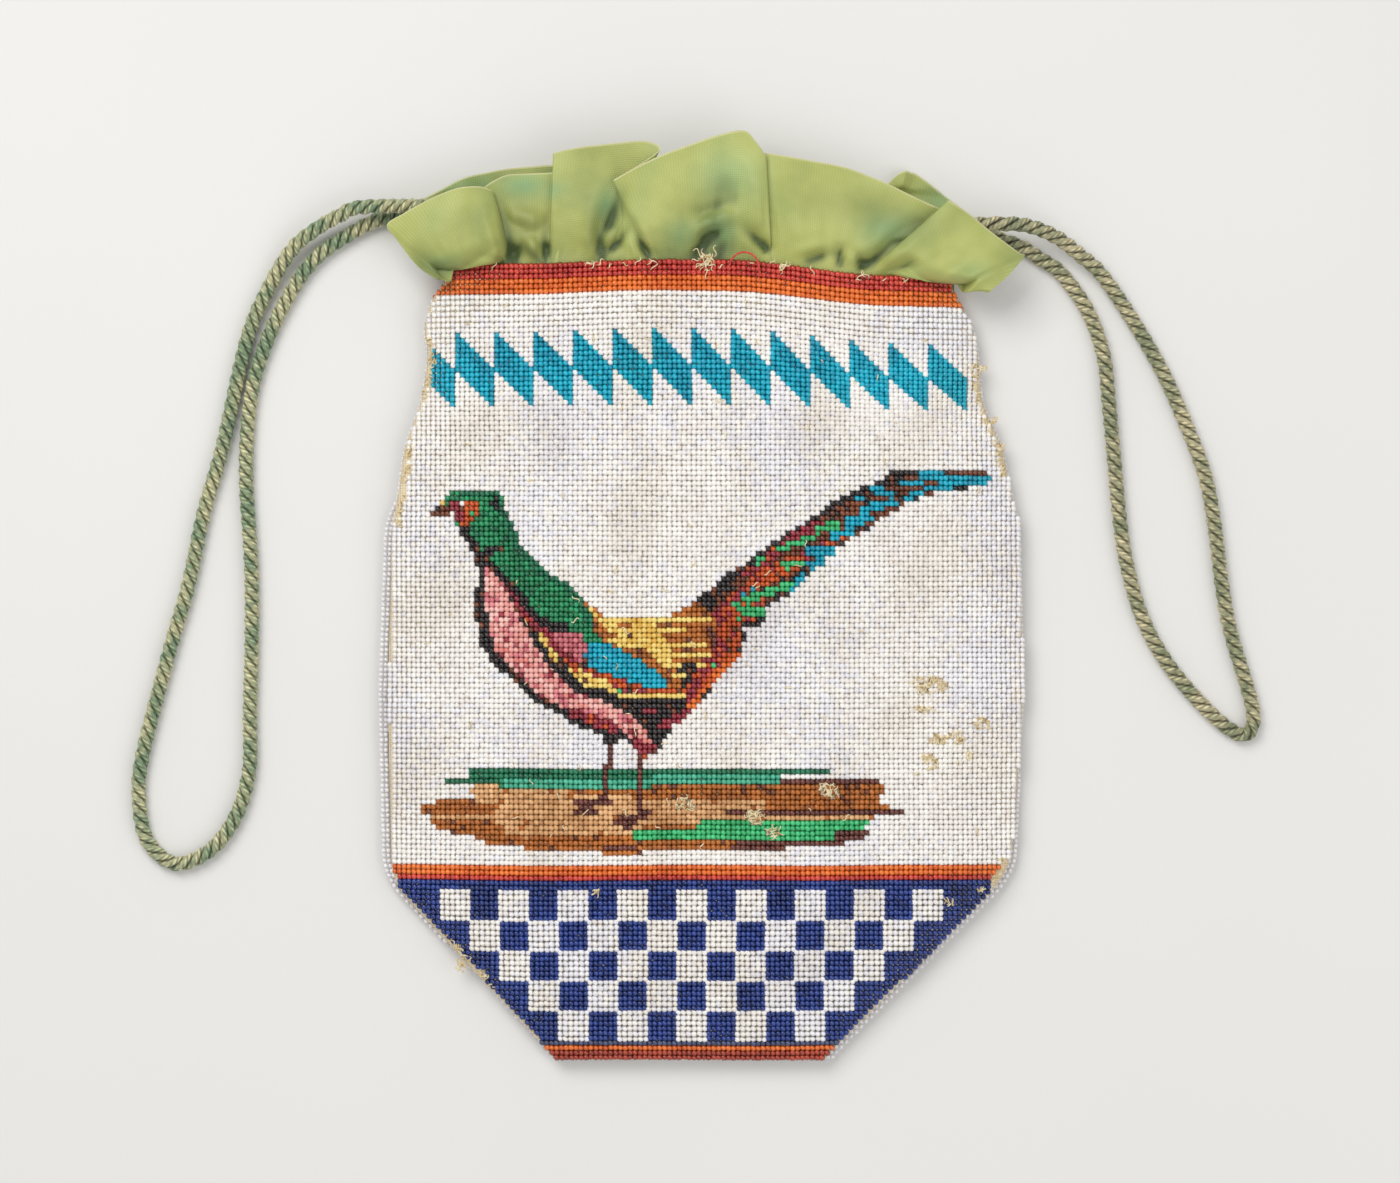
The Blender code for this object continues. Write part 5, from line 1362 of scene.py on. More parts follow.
def batch_colours(glass: Points, x: Points, y: Points, seed: int) -> Points:
    """Mix each bead's colour between its glass's palest and darkest.

    The share is 0.65 of chance and 0.35 of soft patches, as one batch of glass after another was strung.

    Args:
        glass: each bead's place in the Glass Enum.
        x: the beads' places across.
        y: their places up.
        seed: number that settles the chance.

    Returns:
        One linear colour for each bead.
    """
    pale, dark = (np.array([linear(kind.value[end])[:3] for kind in Glass])[glass] for end in (0, 1))
    chance = np.random.default_rng(seed).uniform(0, 1, len(x))
    patches = 0.5 + 0.5 * blotches(x, y, BATCH_PATCH, seed)
    share = np.clip(0.65 * chance + 0.35 * patches, 0, 1)[:, None]
    return pale + (dark - pale) * share


def gap_shade(glass: Points) -> Points:
    """Say how dark each bead's foot looks: pale beads pass light on to each other, and dark ones don't."""
    pale = {Glass.WHITE: 0.94, Glass.COOL_WHITE: 0.94, Glass.TAN: 0.55, Glass.YELLOW: 0.6, Glass.PINK: 0.55}
    return np.array([pale.get(kind, 0.5) for kind in Glass])[glass]


@dataclass(frozen=True)
class BeadGrid:
    """The rows and columns that both sides' beads are strung on, counted from the middle."""

    across: float = 1.53
    up: float = 1.57
    columns: int = 66
    top_row: int = 66
    foot_row: int = -92
    past_seam: float = 1.05

    def rows(self) -> Points:
        """List the places of the rows' middles, in beads."""
        return np.arange(self.foot_row, self.top_row) + 0.5

    def lattice(self) -> tuple[Points, Points, Points, Points]:
        """Place a bead on every crossing, also past the seams. A row falls to the sides as the cloth does.

        Returns:
            Columns and rows in beads, and x and y in millimetres.
        """
        column = np.arange(-self.columns, self.columns) + 0.5
        column, row = (grid.ravel() for grid in np.meshgrid(column, self.rows()))
        x, middle = column * self.across, row * self.up
        share = np.clip(POUCH.across(x, middle), -self.past_seam, self.past_seam)
        return column, row, x, middle - POUCH.row_fall(share, middle)


GRID = BeadGrid()


@dataclass
class FrontBeadwork:
    """The front's beads on their chart, zone by zone, with the beads lost where the thread has worn."""

    left_margin: float = 0.3
    right_margin: float = -0.3
    embed: float = 0.25
    puff: float = 0.7
    puff_beads: float = 1.6
    drift: float = 0.16
    drift_waves: tuple[float, float] = (34.0, 42.0)
    rim_rise: float = 0.9
    worn_fade: float = 4.0
    ragged: tuple[float, float] = (-0.5, 0.8)
    cool_patch: float = 55.0
    cool_spread: float = 0.5
    cool_above: float = 0.35
    soil_patch: float = 38.0
    soil: float = 0.08
    soil_tint: tuple[float, float, float] = (1.0, 1.25, 1.7)
    chart: BeadChart = BeadChart()
    form: BeadForm = BeadForm(sides=6)

    def lattice(self) -> tuple[Points, Points, Points, Points]:
        """Place every bead of the chart, and keep those that lie on the front and aren't lost.

        Rows and columns wander by a soft wave, and the rows between the blocks and the rim are drawn a
        little apart.

        Returns:
            Columns and rows in beads, and x and y in millimetres.
        """
        column, row, x, y = GRID.lattice()
        parted = (row - self.chart.block_top) / (self.chart.field_row - self.chart.block_top)
        y = y + self.rim_rise * ease(parted)
        x = x + self.drift * blotches(x, y, self.drift_waves[0], 11)
        y = y + self.drift * blotches(x, y, self.drift_waves[1], 12)
        edges = {LEFT: POUCH.column(1, y) + self.left_margin, RIGHT: POUCH.column(2, y) - self.right_margin}
        chance = np.random.default_rng(21)
        for low, high, side, deep in WORN_SEAMS:
            shape = ease((y - low) / self.worn_fade) * ease((high - y) / self.worn_fade)
            bite = np.maximum(deep * shape + chance.uniform(*self.ragged, len(y)), 0)
            edges[side] = np.where((y > low) & (y < high), edges[side] - side * bite, edges[side])
        kept = (x > edges[LEFT]) & (x < edges[RIGHT])
        for spot in WORN_SPOTS:
            kept &= chance.uniform(0, 1, len(x)) > spot.lost * (spot.depth(x, y) > 0)
        return column[kept], row[kept], x[kept], y[kept]

    def colours(self, kind: Points, x: Points, y: Points) -> Points:
        """Colour the beads, and soil them in soft patches that take more green and most blue away.

        Args:
            kind: each bead's place in the Glass Enum.
            x: the beads' places across.
            y: their places up.

        Returns:
            One linear colour for each bead.
        """
        soil = 1 - self.soil * np.clip(blotches(x, y, self.soil_patch, 34), 0, 1)
        return batch_colours(kind, x, y, 33) * soil[:, None] ** np.array(self.soil_tint)

    def build(self, glass: bpy.types.Material) -> list[bpy.types.Object]:
        """Build the front's beads.

        Args:
            glass: the beads' material.

        Returns:
            One piece for each zone.
        """
        column, row, x, y = self.lattice()
        kind, zone = self.chart.paint(column, row)
        white = kind == list(Glass).index(Glass.WHITE)
        chance = np.random.default_rng(32).normal(0, self.cool_spread, len(x))
        patches = blotches(x, y, self.cool_patch, 31) + chance
        kind = np.where(white & (patches > self.cool_above), list(Glass).index(Glass.COOL_WHITE), kind)
        colour = self.colours(kind, x, y)
        depth, beside, above = self.chart.in_squares(column, row)
        x = x + beside * GRID.across * self.chart.square_swell
        y = y + above * GRID.up * self.chart.square_swell
        z = POUCH.front_canvas_top(x, y) + self.embed + self.puff * ease(depth / self.puff_beads)
        normal = POUCH.normal(POUCH.front_canvas_top, x, y)
        beads = Beads(np.stack([x, y, z], axis=-1), normal, colour, gap_shade(kind), seed=41)
        return [
            beads.picked(zone == order).build(
                member.value, self.form, "front_beads", "front_beadwork", glass
            )
            for order, member in enumerate(Zone)
        ]


@dataclass
class BackBeadwork:
    """The back's beads: plain white under the same rim, with whole beads where its edge shows in front."""

    embed: float = 1.08
    height: float = 0.85
    edge_margin: float = 0.2
    halves_row: int = -10
    seam_share: float = 0.99
    narrow_lip: float = 1.6
    narrow_out: float = 0.15
    deep_lip: float = 2.2
    first_in: float = 0.75
    edge_pitch: float = 1.45
    edge_rise: float = 0.72
    edge_wander: float = 0.12
    edge_wave: float = 12.0
    chart: BeadChart = BeadChart()
    form: BeadForm = BeadForm(sides=4)
    edge_form: BeadForm = BeadForm(sides=6, whole=True, waist=1.0, waist_height=0.0)

    def kinds(self, row: Points) -> Points:
        """Give each row's glass as its place in the Glass Enum."""
        names = [Glass.RED, Glass.ORANGE, Glass.COOL_WHITE]
        order = (row[:, None] < np.array([self.chart.rim_orange_row, self.chart.field_row])).sum(axis=1)
        return np.array([list(Glass).index(name) for name in names])[order]

    def build(self, glass: bpy.types.Material) -> list[bpy.types.Object]:
        """Build the rim and two halves of the field, facing the table, and the edge's whole beads.

        Args:
            glass: the beads' material.

        Returns:
            The four pieces.
        """
        _, row, x, y = GRID.lattice()
        kept = (x > POUCH.column(1, y) + self.edge_margin) & (x < POUCH.column(2, y) - self.edge_margin)
        row, x, y = row[kept], x[kept], y[kept]
        place = np.stack([x, y, POUCH.back_low(x, y) + self.embed], axis=-1)
        normal = -POUCH.normal(POUCH.back_low, x, y)
        kinds = self.kinds(row)
        colour = batch_colours(kinds, x, y, 51)
        beads = Beads(place, normal, colour, gap_shade(kinds), height=self.height, seed=52)
        field_row = self.chart.field_row
        parts = {
            "back_rim_beads": row > field_row,
            "back_upper_field_beads": (row < field_row) & (row > self.halves_row),
            "back_lower_field_beads": row < self.halves_row,
        }
        halves = [
            beads.picked(chosen).build(name, self.form, "back_beads", "back_beadwork", glass)
            for name, chosen in parts.items()
        ]
        return [*halves, self.edge(glass)]

    def edge(self, glass: bpy.types.Material) -> bpy.types.Object:
        """Build the beads of the back that stand past the front's edge, one or two deep, down both sides.

        Args:
            glass: the beads' material.

        Returns:
            The edge's beads as one piece.
        """
        row = GRID.rows()
        middle = row * GRID.up
        places, kinds = [], []
        for side, outline, lip in ((LEFT, 1, 3), (RIGHT, 2, 4)):
            y = middle - POUCH.row_fall(np.full(len(row), float(side)) * self.seam_share, middle)
            reach = POUCH.column(lip, y)
            for depth in (0, 1):
                inward = reach - self.first_in - depth * self.edge_pitch
                out = np.where(reach > self.narrow_lip, inward, self.narrow_out)
                shown = np.full(len(row), True) if depth == 0 else reach > self.deep_lip
                x = POUCH.column(outline, y) + side * out
                wander = self.edge_wander * blotches(x, y, self.edge_wave, 61)
                z = np.full(len(row), POUCH.seam_lift + self.edge_rise) + wander
                places.append(np.stack([x, y, z], axis=-1)[shown])
                kinds.append(self.kinds(row)[shown])
        place, kinds = np.concatenate(places), np.concatenate(kinds)
        colour = batch_colours(kinds, place[:, 0], place[:, 1], 62)
        normal = np.broadcast_to([0.0, 0.0, 1.0], place.shape)
        beads = Beads(place, normal, colour, gap_shade(kinds), long=0.86, short=0.76, height=0.7, seed=63)
        return beads.build("back_edge_beads", self.edge_form, "back_beads", "back_beadwork", glass)


# Canvases and threads


@dataclass
class Canvases:
    """The two linen canvases under the beads, edge to edge at the seams."""

    rows: int = 84
    columns: int = 48
    crowding: float = 1.3
    width: float = 205.0
    length: float = 258.0
    cut_area: float = 47200.0
    mouth_inset: float = 0.4

    def middle(self, height: Callable[[Points, Points], Points]) -> Points:
        """Spread a grid over the panel: rows from mouth to foot that fall as the beads' rows do.

        Args:
            height: the canvas's underside over x and y.

        Returns:
            Grid of points on the canvas's middle surface, its columns closer together at the seams.
        """
        share = np.linspace(-1, 1, self.columns)
        share = np.sign(share) * (1 - (1 - np.abs(share)) ** self.crowding)
        level = np.linspace(POUCH.mouth_y - self.mouth_inset, POUCH.foot_y, self.rows)
        share, level = np.meshgrid(share, level)
        y = level - POUCH.row_fall(share, level)
        x = POUCH.along(share, y)
        return np.stack([x, y, height(x, y) + POUCH.canvas / 2], axis=-1)

    def build(self, linen: bpy.types.Material) -> list[bpy.types.Object]:
        """Build both canvases.

        Args:
            linen: the canvases' material.

        Returns:
            The front and the back canvas.
        """
        pieces = []
        for name, height, under in (
            ("front_canvas", POUCH.front_canvas_low, "back_canvas"),
            ("back_canvas", POUCH.back_canvas_low, "back_beadwork"),
        ):
            cloth = cloth_mesh(name + "_linen", self.middle(height), POUCH.canvas)
            piece = mount(cloth, linen, name)
            pieces.append(piece)
        return pieces


@dataclass
class Threads:
    """Sewing threads that show: the overcast seams, worn loops among the beads, and tufts at the rim."""

    stitch: float = 2.6
    stitch_steps: int = 10
    stitch_in: float = 0.7
    stitch_rise: float = 0.1
    seam_start: float = 8.0
    seam_points: int = 90
    seam_share: float = 0.99
    seam_radius: float = 0.8
    seam_squash: tuple[float, float] = (0.7, 0.78)
    seam_thread: float = 0.18
    loop_points: int = 8
    loop_rest: float = 0.35
    worn_lift: float = 1.25
    worn_span: float = 2.2
    tuft_lift: float = 1.7
    tuft_span: float = 2.6
    sides: int = 4
    thread: float = 0.17
    pulled_ends: tuple[tuple[float, float, int], ...] = (
        (87.6, 71.4, 6), (91.0, 54.8, 5), (94.0, 46.5, 8), (-75.0, -114.0, 8),
    )
    strays: int = 90
    tufts: tuple[tuple[float, int], ...] = (
        (1.0, 34), (24.3, 8), (50.5, 4), (-15.0, 3), (64.0, 3), (-30.0, 2),
    )
    red_route: tuple[tuple[float, float, float], ...] = (
        (8.6, 102.6, 18.2), (9.4, 104.6, 19.6), (11.4, 106.3, 20.4), (14.2, 106.6, 20.6),
        (16.6, 105.2, 20.3), (17.6, 102.9, 19.6), (17.9, 101.0, 19.2), (18.4, 99.4, 19.0),
    )
    red_thread: float = 0.32

    def seams(self, fibre: bpy.types.Material) -> bpy.types.Object:
        """Wind an overcast stitch round both canvases' edges, down the left side, along the foot and up.

        The stitch is a helix: a flattened circle round the edge that moves on by one stitch for each
        turn.

        Args:
            fibre: the thread's material.

        Returns:
            The stitches as one piece.
        """
        level = np.linspace(POUCH.mouth_y - self.seam_start, POUCH.foot_y, self.seam_points)
        sides = []
        for side, outline in ((LEFT, 1), (RIGHT, 2)):
            y = level - POUCH.row_fall(np.full(self.seam_points, side * self.seam_share), level)
            sides.append(np.stack([POUCH.column(outline, y), y], axis=-1))
        edge = np.concatenate([sides[0], sides[1][::-1]])
        gone = way_gone(edge)
        turns = int(gone[-1] / self.stitch)
        path = read_along(edge, gone, np.linspace(0, gone[-1], turns * self.stitch_steps))
        heading = unit(np.gradient(path, axis=0))
        outward = np.stack([heading[:, 1], -heading[:, 0]], axis=-1)
        angle = np.arange(len(path)) * 2 * math.pi / self.stitch_steps
        middle_z = POUCH.seam_lift + POUCH.beadwork + 2 * POUCH.clearance + POUCH.canvas + self.stitch_rise
        wide, high = self.seam_squash
        spot = path + outward * (np.cos(angle) * self.seam_radius * wide - self.stitch_in)[:, None]
        z = middle_z + np.sin(angle) * self.seam_radius * high
        helix = np.column_stack([spot, z])[None]
        piece = write_mesh("seam_stitches", *tubes(helix, self.seam_thread, self.sides))
        return mount(piece, fibre)

    def loops(self, x: Points, y: Points, lift: float, span: float, seed: int) -> Points:
        """Curl a short thread at each place: an arch over the beads, with its ends among them.

        Along t from 0 to 1, it goes its span in a random direction, rises as sin(pi t), and bows
        sideways as sin(2 pi t).

        Args:
            x: places across.
            y: places up.
            lift: mean height of the arches.
            span: mean distance between a thread's ends.
            seed: number that settles the chance.

        Returns:
            One row of points for each thread.
        """
        draw = np.random.default_rng(seed)
        t = np.linspace(0, 1, self.loop_points)[None]
        angle = draw.uniform(0, 2 * math.pi, (len(x), 1))
        reach = span * draw.uniform(0.6, 1.5, (len(x), 1))
        bow = reach * draw.uniform(-0.35, 0.35, (len(x), 1)) * np.sin(2 * math.pi * t)
        along = reach * (t - 0.5)
        px = x[:, None] + along * np.cos(angle) - bow * np.sin(angle)
        py = y[:, None] + along * np.sin(angle) + bow * np.cos(angle)
        rise = lift * draw.uniform(0.5, 1.2, (len(x), 1)) * np.sin(math.pi * t)
        pz = POUCH.front_canvas_top(px, py) + self.loop_rest + rise
        return np.stack([px, py, pz], axis=-1)

    def worn(self, fibre: bpy.types.Material) -> bpy.types.Object:
        """Scatter loops of worn thread over the worn spots, the worn side seams and the whole front.

        Args:
            fibre: the thread's material.

        Returns:
            The loops as one piece.
        """
        draw = np.random.default_rng(71)
        xs, ys = [], []
        for spot in WORN_SPOTS:
            count = int(5 + spot.reach_x * spot.reach_y * 2.2)
            angle, out = draw.uniform(0, 2 * math.pi, count), np.sqrt(draw.uniform(0, 1, count))
            xs.append(spot.x + spot.reach_x * out * np.cos(angle))
            ys.append(spot.y + spot.reach_y * out * np.sin(angle))
        for low, high, side, deep in WORN_SEAMS:
            count = int((high - low) * 1.3)
            y = draw.uniform(low, high, count)
            seam = POUCH.column(1 if side == LEFT else 2, y)
            xs.append(seam - side * draw.uniform(0.6, deep + 0.6, count))
            ys.append(y)
        for at_x, at_y, count in self.pulled_ends:
            xs.append(draw.normal(at_x, 0.4, count))
            ys.append(draw.normal(at_y, 0.6, count))
        xs.append(draw.uniform(-90, 90, self.strays))
        ys.append(draw.uniform(-80, 92, self.strays))
        paths = self.loops(np.concatenate(xs), np.concatenate(ys), self.worn_lift, self.worn_span, 72)
        piece = write_mesh("worn_thread_loops", *tubes(paths, self.thread, self.sides))
        return mount(piece, fibre)

    def rim_tufts(self, fibre: bpy.types.Material) -> bpy.types.Object:
        """Stand small frayed tufts along the mouth, and scatter the thickest one widest.

        Args:
            fibre: the thread's material.

        Returns:
            The tufts as one piece.
        """
        draw = np.random.default_rng(81)
        near = [draw.normal(at, 1.6, count) for at, count in self.tufts]
        x = np.concatenate([*near, draw.uniform(-72, 72, 12)])
        share = POUCH.across(x, np.full(len(x), 96.0))
        spread = np.where(np.abs(x - self.tufts[0][0]) < 5.0, 1.8, 0.7)
        y = POUCH.mouth_at(share) - 0.6 + draw.normal(0.0, 1.0, len(x)) * spread
        paths = self.loops(x, y, self.tuft_lift, self.tuft_span, 82)
        piece = write_mesh("rim_thread_tufts", *tubes(paths, self.thread, self.sides))
        return mount(piece, fibre)

    def red_loop(self, fibre: bpy.types.Material) -> bpy.types.Object:
        """Curl the one long red thread that has pulled out of the rim."""
        path = smooth_curve(np.array(self.red_route), 5)[None]
        return mount(write_mesh("red_rim_thread", *tubes(path, self.red_thread, 6)), fibre)


# The silk ruffle


@dataclass
class Ruffle:
    """One layer of the gathered silk, lofted from its foot inside the mouth to its free edge.

    Each row of the pleat table is a line up the cloth: where it leaves the mouth, where it meets the
    free edge, and how many layers it lies over the casing below and above. A crease runs from one
    place to another, with its width and depth. Stains, painted reflections among them, and patches of
    painted shade are soft ovals: each has its middle, its reach each way and its strength. A droop
    starts at an x, and reaches its depth over a width.
    """

    name: str
    node: str
    pleats: tuple[tuple[float, ...], ...]
    casing: float
    layer: float
    flat_width: float
    flat_length: float
    rests_on: str
    creases: tuple[tuple[float, ...], ...] = ()
    stains_and_reflections: tuple[tuple[float, ...], ...] = ()
    painted_shades: tuple[tuple[float, ...], ...] = ()
    droops: tuple[tuple[float, float, float], ...] = ()
    front: bool = True
    fineness: int = 6
    rows: int = 42
    row_crowding: float = 0.9
    tuck: float = 7.0
    tuck_rows: int = 5
    tuck_unit: float = 30.0
    silk: float = 0.34
    foot_gap: float = 0.25
    share_y: float = 98.0
    share_limit: float = 0.95
    inside_y: float = 103.0
    rise_speed: float = 2.6
    layers_speed: float = 4.0
    layers_start: float = 0.15
    hang_peak: float = 0.24
    hang_clear: float = 1.5
    over_beads: float = 3.4
    pucker: float = 0.8
    pucker_waves: tuple[float, float] = (5.3, 2.9)
    pucker_drift: float = 7.0
    pucker_wander: float = 1.2
    pucker_second: float = 0.6
    pucker_speed: float = 1.25
    pucker_swell: float = 1.2
    pucker_fade: float = 1.5
    crumple_speed: float = 3.0
    crease_speed: float = 5.0
    crease_start: float = 0.2
    crease_growth: float = 0.9
    ridge_share: float = 0.6
    ridge_beside: float = 1.7
    ridge_reach: float = 2.6
    shade_depth: float = 4.0
    shade_limit: float = 0.8
    shade_width: float = 0.6
    crumples: tuple[tuple[float, float, int, float], ...] = ((0.32, 17.0, 91, 0.0), (0.12, 6.5, 92, 9.0))
    casing_slack: float = 0.2
    casing_dip: float = 4.5
    casing_from: float = 106.0
    casing_over: float = 6.0
    under_cords: float = 0.95
    cords_y: float = 118.5
    cords_reach: float = 7.5
    past_cords_rise: float = 5.0
    past_cords_over: float = 4.0
    edge_wear: float = 0.9
    faint_stain: float = 0.10
    faint_stain_size: float = 22.0
    hollow_shade: float = 0.6

    def foot(self, x: Points, y: Points) -> Points:
        """Give the height of the cloth inside the mouth, next to its own canvas."""
        if self.front:
            return POUCH.front_canvas_low(x, y) - POUCH.clearance - self.foot_gap
        return POUCH.back_canvas_low(x, y) + POUCH.canvas + POUCH.clearance + self.foot_gap

    @staticmethod
    def hollows(height: Points, passes: int = 160, slack: float = 0.15, full: float = 1.8) -> Points:
        """Say how far each place lies below the cloth around it.

        The cloth around it is the height averaged again and again with its four neighbours'.

        Args:
            height: the cloth's height on its grid.
            passes: how many times it is averaged.
            slack: the depth that doesn't count yet.
            full: the further depth that counts as deep.

        Returns:
            From 0 for level or proud to 1 for deep.
        """
        calm = height
        for _ in range(passes):
            wide = np.pad(calm, 1, mode="edge")
            calm = wide[1:-1, 1:-1] + wide[:-2, 1:-1] + wide[2:, 1:-1]
            calm = (calm + wide[1:-1, :-2] + wide[1:-1, 2:]) / 5
        return ease((calm - height - slack) / full)

    def folds(self, x: Points, y: Points) -> tuple[Points, Points]:
        """Give the height and the shade that the creases add at each place.

        A crease is a dent that fades with the distance from its line as exp(-distance squared), with a
        lesser ridge on one side, and grows towards the line's end.

        Args:
            x: places across.
            y: places up.

        Returns:
            The height in millimetres, and the shade from 0 to 1.
        """
        height, shade = np.zeros_like(x), np.zeros_like(x)
        for x1, y1, x2, y2, wide, deep in self.creases:
            length = math.hypot(x2 - x1, y2 - y1)
            place = np.clip(((x - x1) * (x2 - x1) + (y - y1) * (y2 - y1)) / length**2, 0, 1)
            away = np.hypot(x - x1 - place * (x2 - x1), y - y1 - place * (y2 - y1)) / wide
            beside = ((x - x1) * (y2 - y1) - (y - y1) * (x2 - x1)) / length / wide
            grown = ease(self.crease_start + self.crease_growth * place)
            ridge = self.ridge_share * np.exp(-((beside - self.ridge_beside) ** 2))
            ridge = ridge * np.exp(-((away / self.ridge_reach) ** 4))
            height = height + deep * (np.exp(-(away**2)) - ridge) * grown
            dark = np.clip(-deep / self.shade_depth, 0, self.shade_limit)
            shade = np.maximum(shade, dark * np.exp(-((away / self.shade_width) ** 2)) * grown)
        return height, shade

    def drape(self, t: Points, root_x: Points, x: Points, y: Points, z: Points) -> tuple[Points, Points]:
        """Let the cloth hang over the rim where it droops, clear of the beads.

        It hangs by u exp(1 - u) times the droop's depth, u being t over the place of the lowest point.

        Args:
            t: the way up the cloth, from 0 at the mouth to 1 on the free edge.
            root_x: the x at which each line leaves the mouth.
            x: the cloth's places across.
            y: its places up.
            z: its heights.

        Returns:
            The new y and z.
        """
        droop = np.zeros(len(root_x))
        for at, reach, depth in self.droops:
            droop = droop + depth * ease((root_x - at) / reach)
        hang = droop * (t / self.hang_peak) * np.exp(1 - t / self.hang_peak)
        y = y - hang
        over_rim = POUCH.front_canvas_top(x, np.minimum(y, self.inside_y)) + self.over_beads
        return y, z + np.maximum(over_rim - z, 0) * ease(hang / self.hang_clear)

    def ruffled(self, t: Points, travelled: Points, x: Points, y: Points, z: Points) -> Points:
        """Add puckers, which are short waves that fade towards the edge, then soft crumples and creases.

        Args:
            t: the way up the cloth, from 0 at the mouth to 1 on the free edge.
            travelled: the way along the cloth, in millimetres.
            x: the cloth's places across.
            y: its places up.
            z: its heights.

        Returns:
            The new heights.
        """
        long, short = self.pucker_waves
        wander = self.pucker_wander * np.sin(travelled / self.pucker_drift)
        wave = np.sin(travelled * 2 * math.pi / long + wander)
        wave = wave + self.pucker_second * np.sin(travelled * 2 * math.pi / short)
        swell = np.sin(math.pi * np.clip(t * self.pucker_speed, 0, 1)) ** self.pucker_swell
        z = z + self.pucker * 0.5 * wave * swell * (1 - t) ** self.pucker_fade
        for height, size, seed, shift in self.crumples:
            z = z + height * blotches(x + shift, y, size, seed) * ease(t * self.crumple_speed)
        return z + self.folds(x, y)[0] * ease(t * self.crease_speed)

    def surface(self) -> tuple[Points, Points]:
        """Work out the cloth's middle surface and its flat coordinates in centimetres.

        Across, each line of the table is joined to the next by a smooth curve. Up the cloth, t runs
        from 0 at the mouth to 1 on the free edge, and is below 0 inside: the place moves straight from
        mouth to edge, and the height goes smoothly from the mouth to the casing plus the layers, which
        change evenly. The front then keeps over the casing, and the back under the cords.

        Returns:
            Grid of points, and grid of flat coordinates.
        """
        lines = smooth_curve(np.array(self.pleats, float), self.fineness)
        root_x, tip_x, tip_y, low, high = lines.T
        share = POUCH.across(root_x, np.full(len(root_x), self.share_y))
        share = np.clip(share, -self.share_limit, self.share_limit)
        mouth_y = POUCH.mouth_at(share) + POUCH.clearance
        steps = np.hypot(np.diff((root_x + tip_x) / 2), np.diff(high * self.layer))
        travelled = np.concatenate([[0], np.cumsum(steps)])
        inner = np.linspace(-self.tuck, 0, self.tuck_rows)[:-1] / self.tuck_unit
        t = np.concatenate([inner, np.linspace(0, 1, self.rows) ** self.row_crowding])[:, None]
        out, within = np.clip(t, 0, 1), np.minimum(t, 0)
        x = root_x + (tip_x - root_x) * out
        y = mouth_y + (tip_y - mouth_y) * out + within * self.tuck_unit
        start = self.foot(root_x, np.minimum(mouth_y, self.inside_y))
        inside = self.foot(x, np.minimum(y, self.inside_y))
        layers = self.layer * (low + (high - low) * out)
        over = self.casing + layers * ease(out * self.layers_speed + self.layers_start)
        z = np.where(t <= 0, inside, start + (over - start) * ease(out * self.rise_speed))
        y, z = self.drape(out, root_x, x, y, z)
        z = self.ruffled(out, travelled, x, y, z)
        if self.front:
            dip = self.casing_dip * (1 - ease((y - self.casing_from) / self.casing_over))
            z = np.where(t > 0, np.maximum(z, self.casing - self.casing_slack - dip), z)
        else:
            past = np.abs(y - self.cords_y) - self.cords_reach
            z = np.minimum(z, self.under_cords + self.past_cords_rise * ease(past / self.past_cords_over))
        up = np.broadcast_to(self.tuck_unit / 10 * out + within, x.shape)
        flat = np.stack([np.broadcast_to(travelled / 10, x.shape), up], axis=-1)
        return np.stack([x, y, z], axis=-1), flat

    def build(self, silk: bpy.types.Material) -> bpy.types.Object:
        """Args:
            silk: the layer's material.

        Returns:
            The layer, with stains, a painted reflection, worn edge and painted shade stored for the
            material.
        """
        middle, flat = self.surface()
        piece = cloth_mesh(self.name, middle, self.silk)
        x, y = middle[..., 0].ravel(), middle[..., 1].ravel()
        # Stains, and the blue-green reflection painted among them
        stain_and_reflection = np.zeros(len(x))
        for spot in self.stains_and_reflections:
            stain_and_reflection = np.maximum(stain_and_reflection, oval(x, y, spot))
        stain_and_reflection = stain_and_reflection + self.faint_stain * np.clip(blotches(x, y, self.faint_stain_size, 93), 0, 1)
        edge = np.zeros(middle.shape[:2])
        edge[-1] = self.edge_wear
        # Painted shade: deep hollows, the creases' dark lines and the listed patches darken the silk
        painted_shade = self.hollow_shade * self.hollows(middle[..., 2]).ravel() + self.folds(x, y)[1]
        for spot in self.painted_shades:
            painted_shade = painted_shade + oval(x, y, spot)
        for mark, values in (("StainAndReflection", stain_and_reflection), ("Worn", edge.ravel()), ("PaintedShade", painted_shade)):
            store_value(piece, mark, np.tile(np.clip(values, 0, 1), 2))
        store_uv(piece, "Cut", np.tile(flat.reshape(-1, 2), (2, 1)))
        mount(piece, silk, self.node)
        return piece


# The drawcords


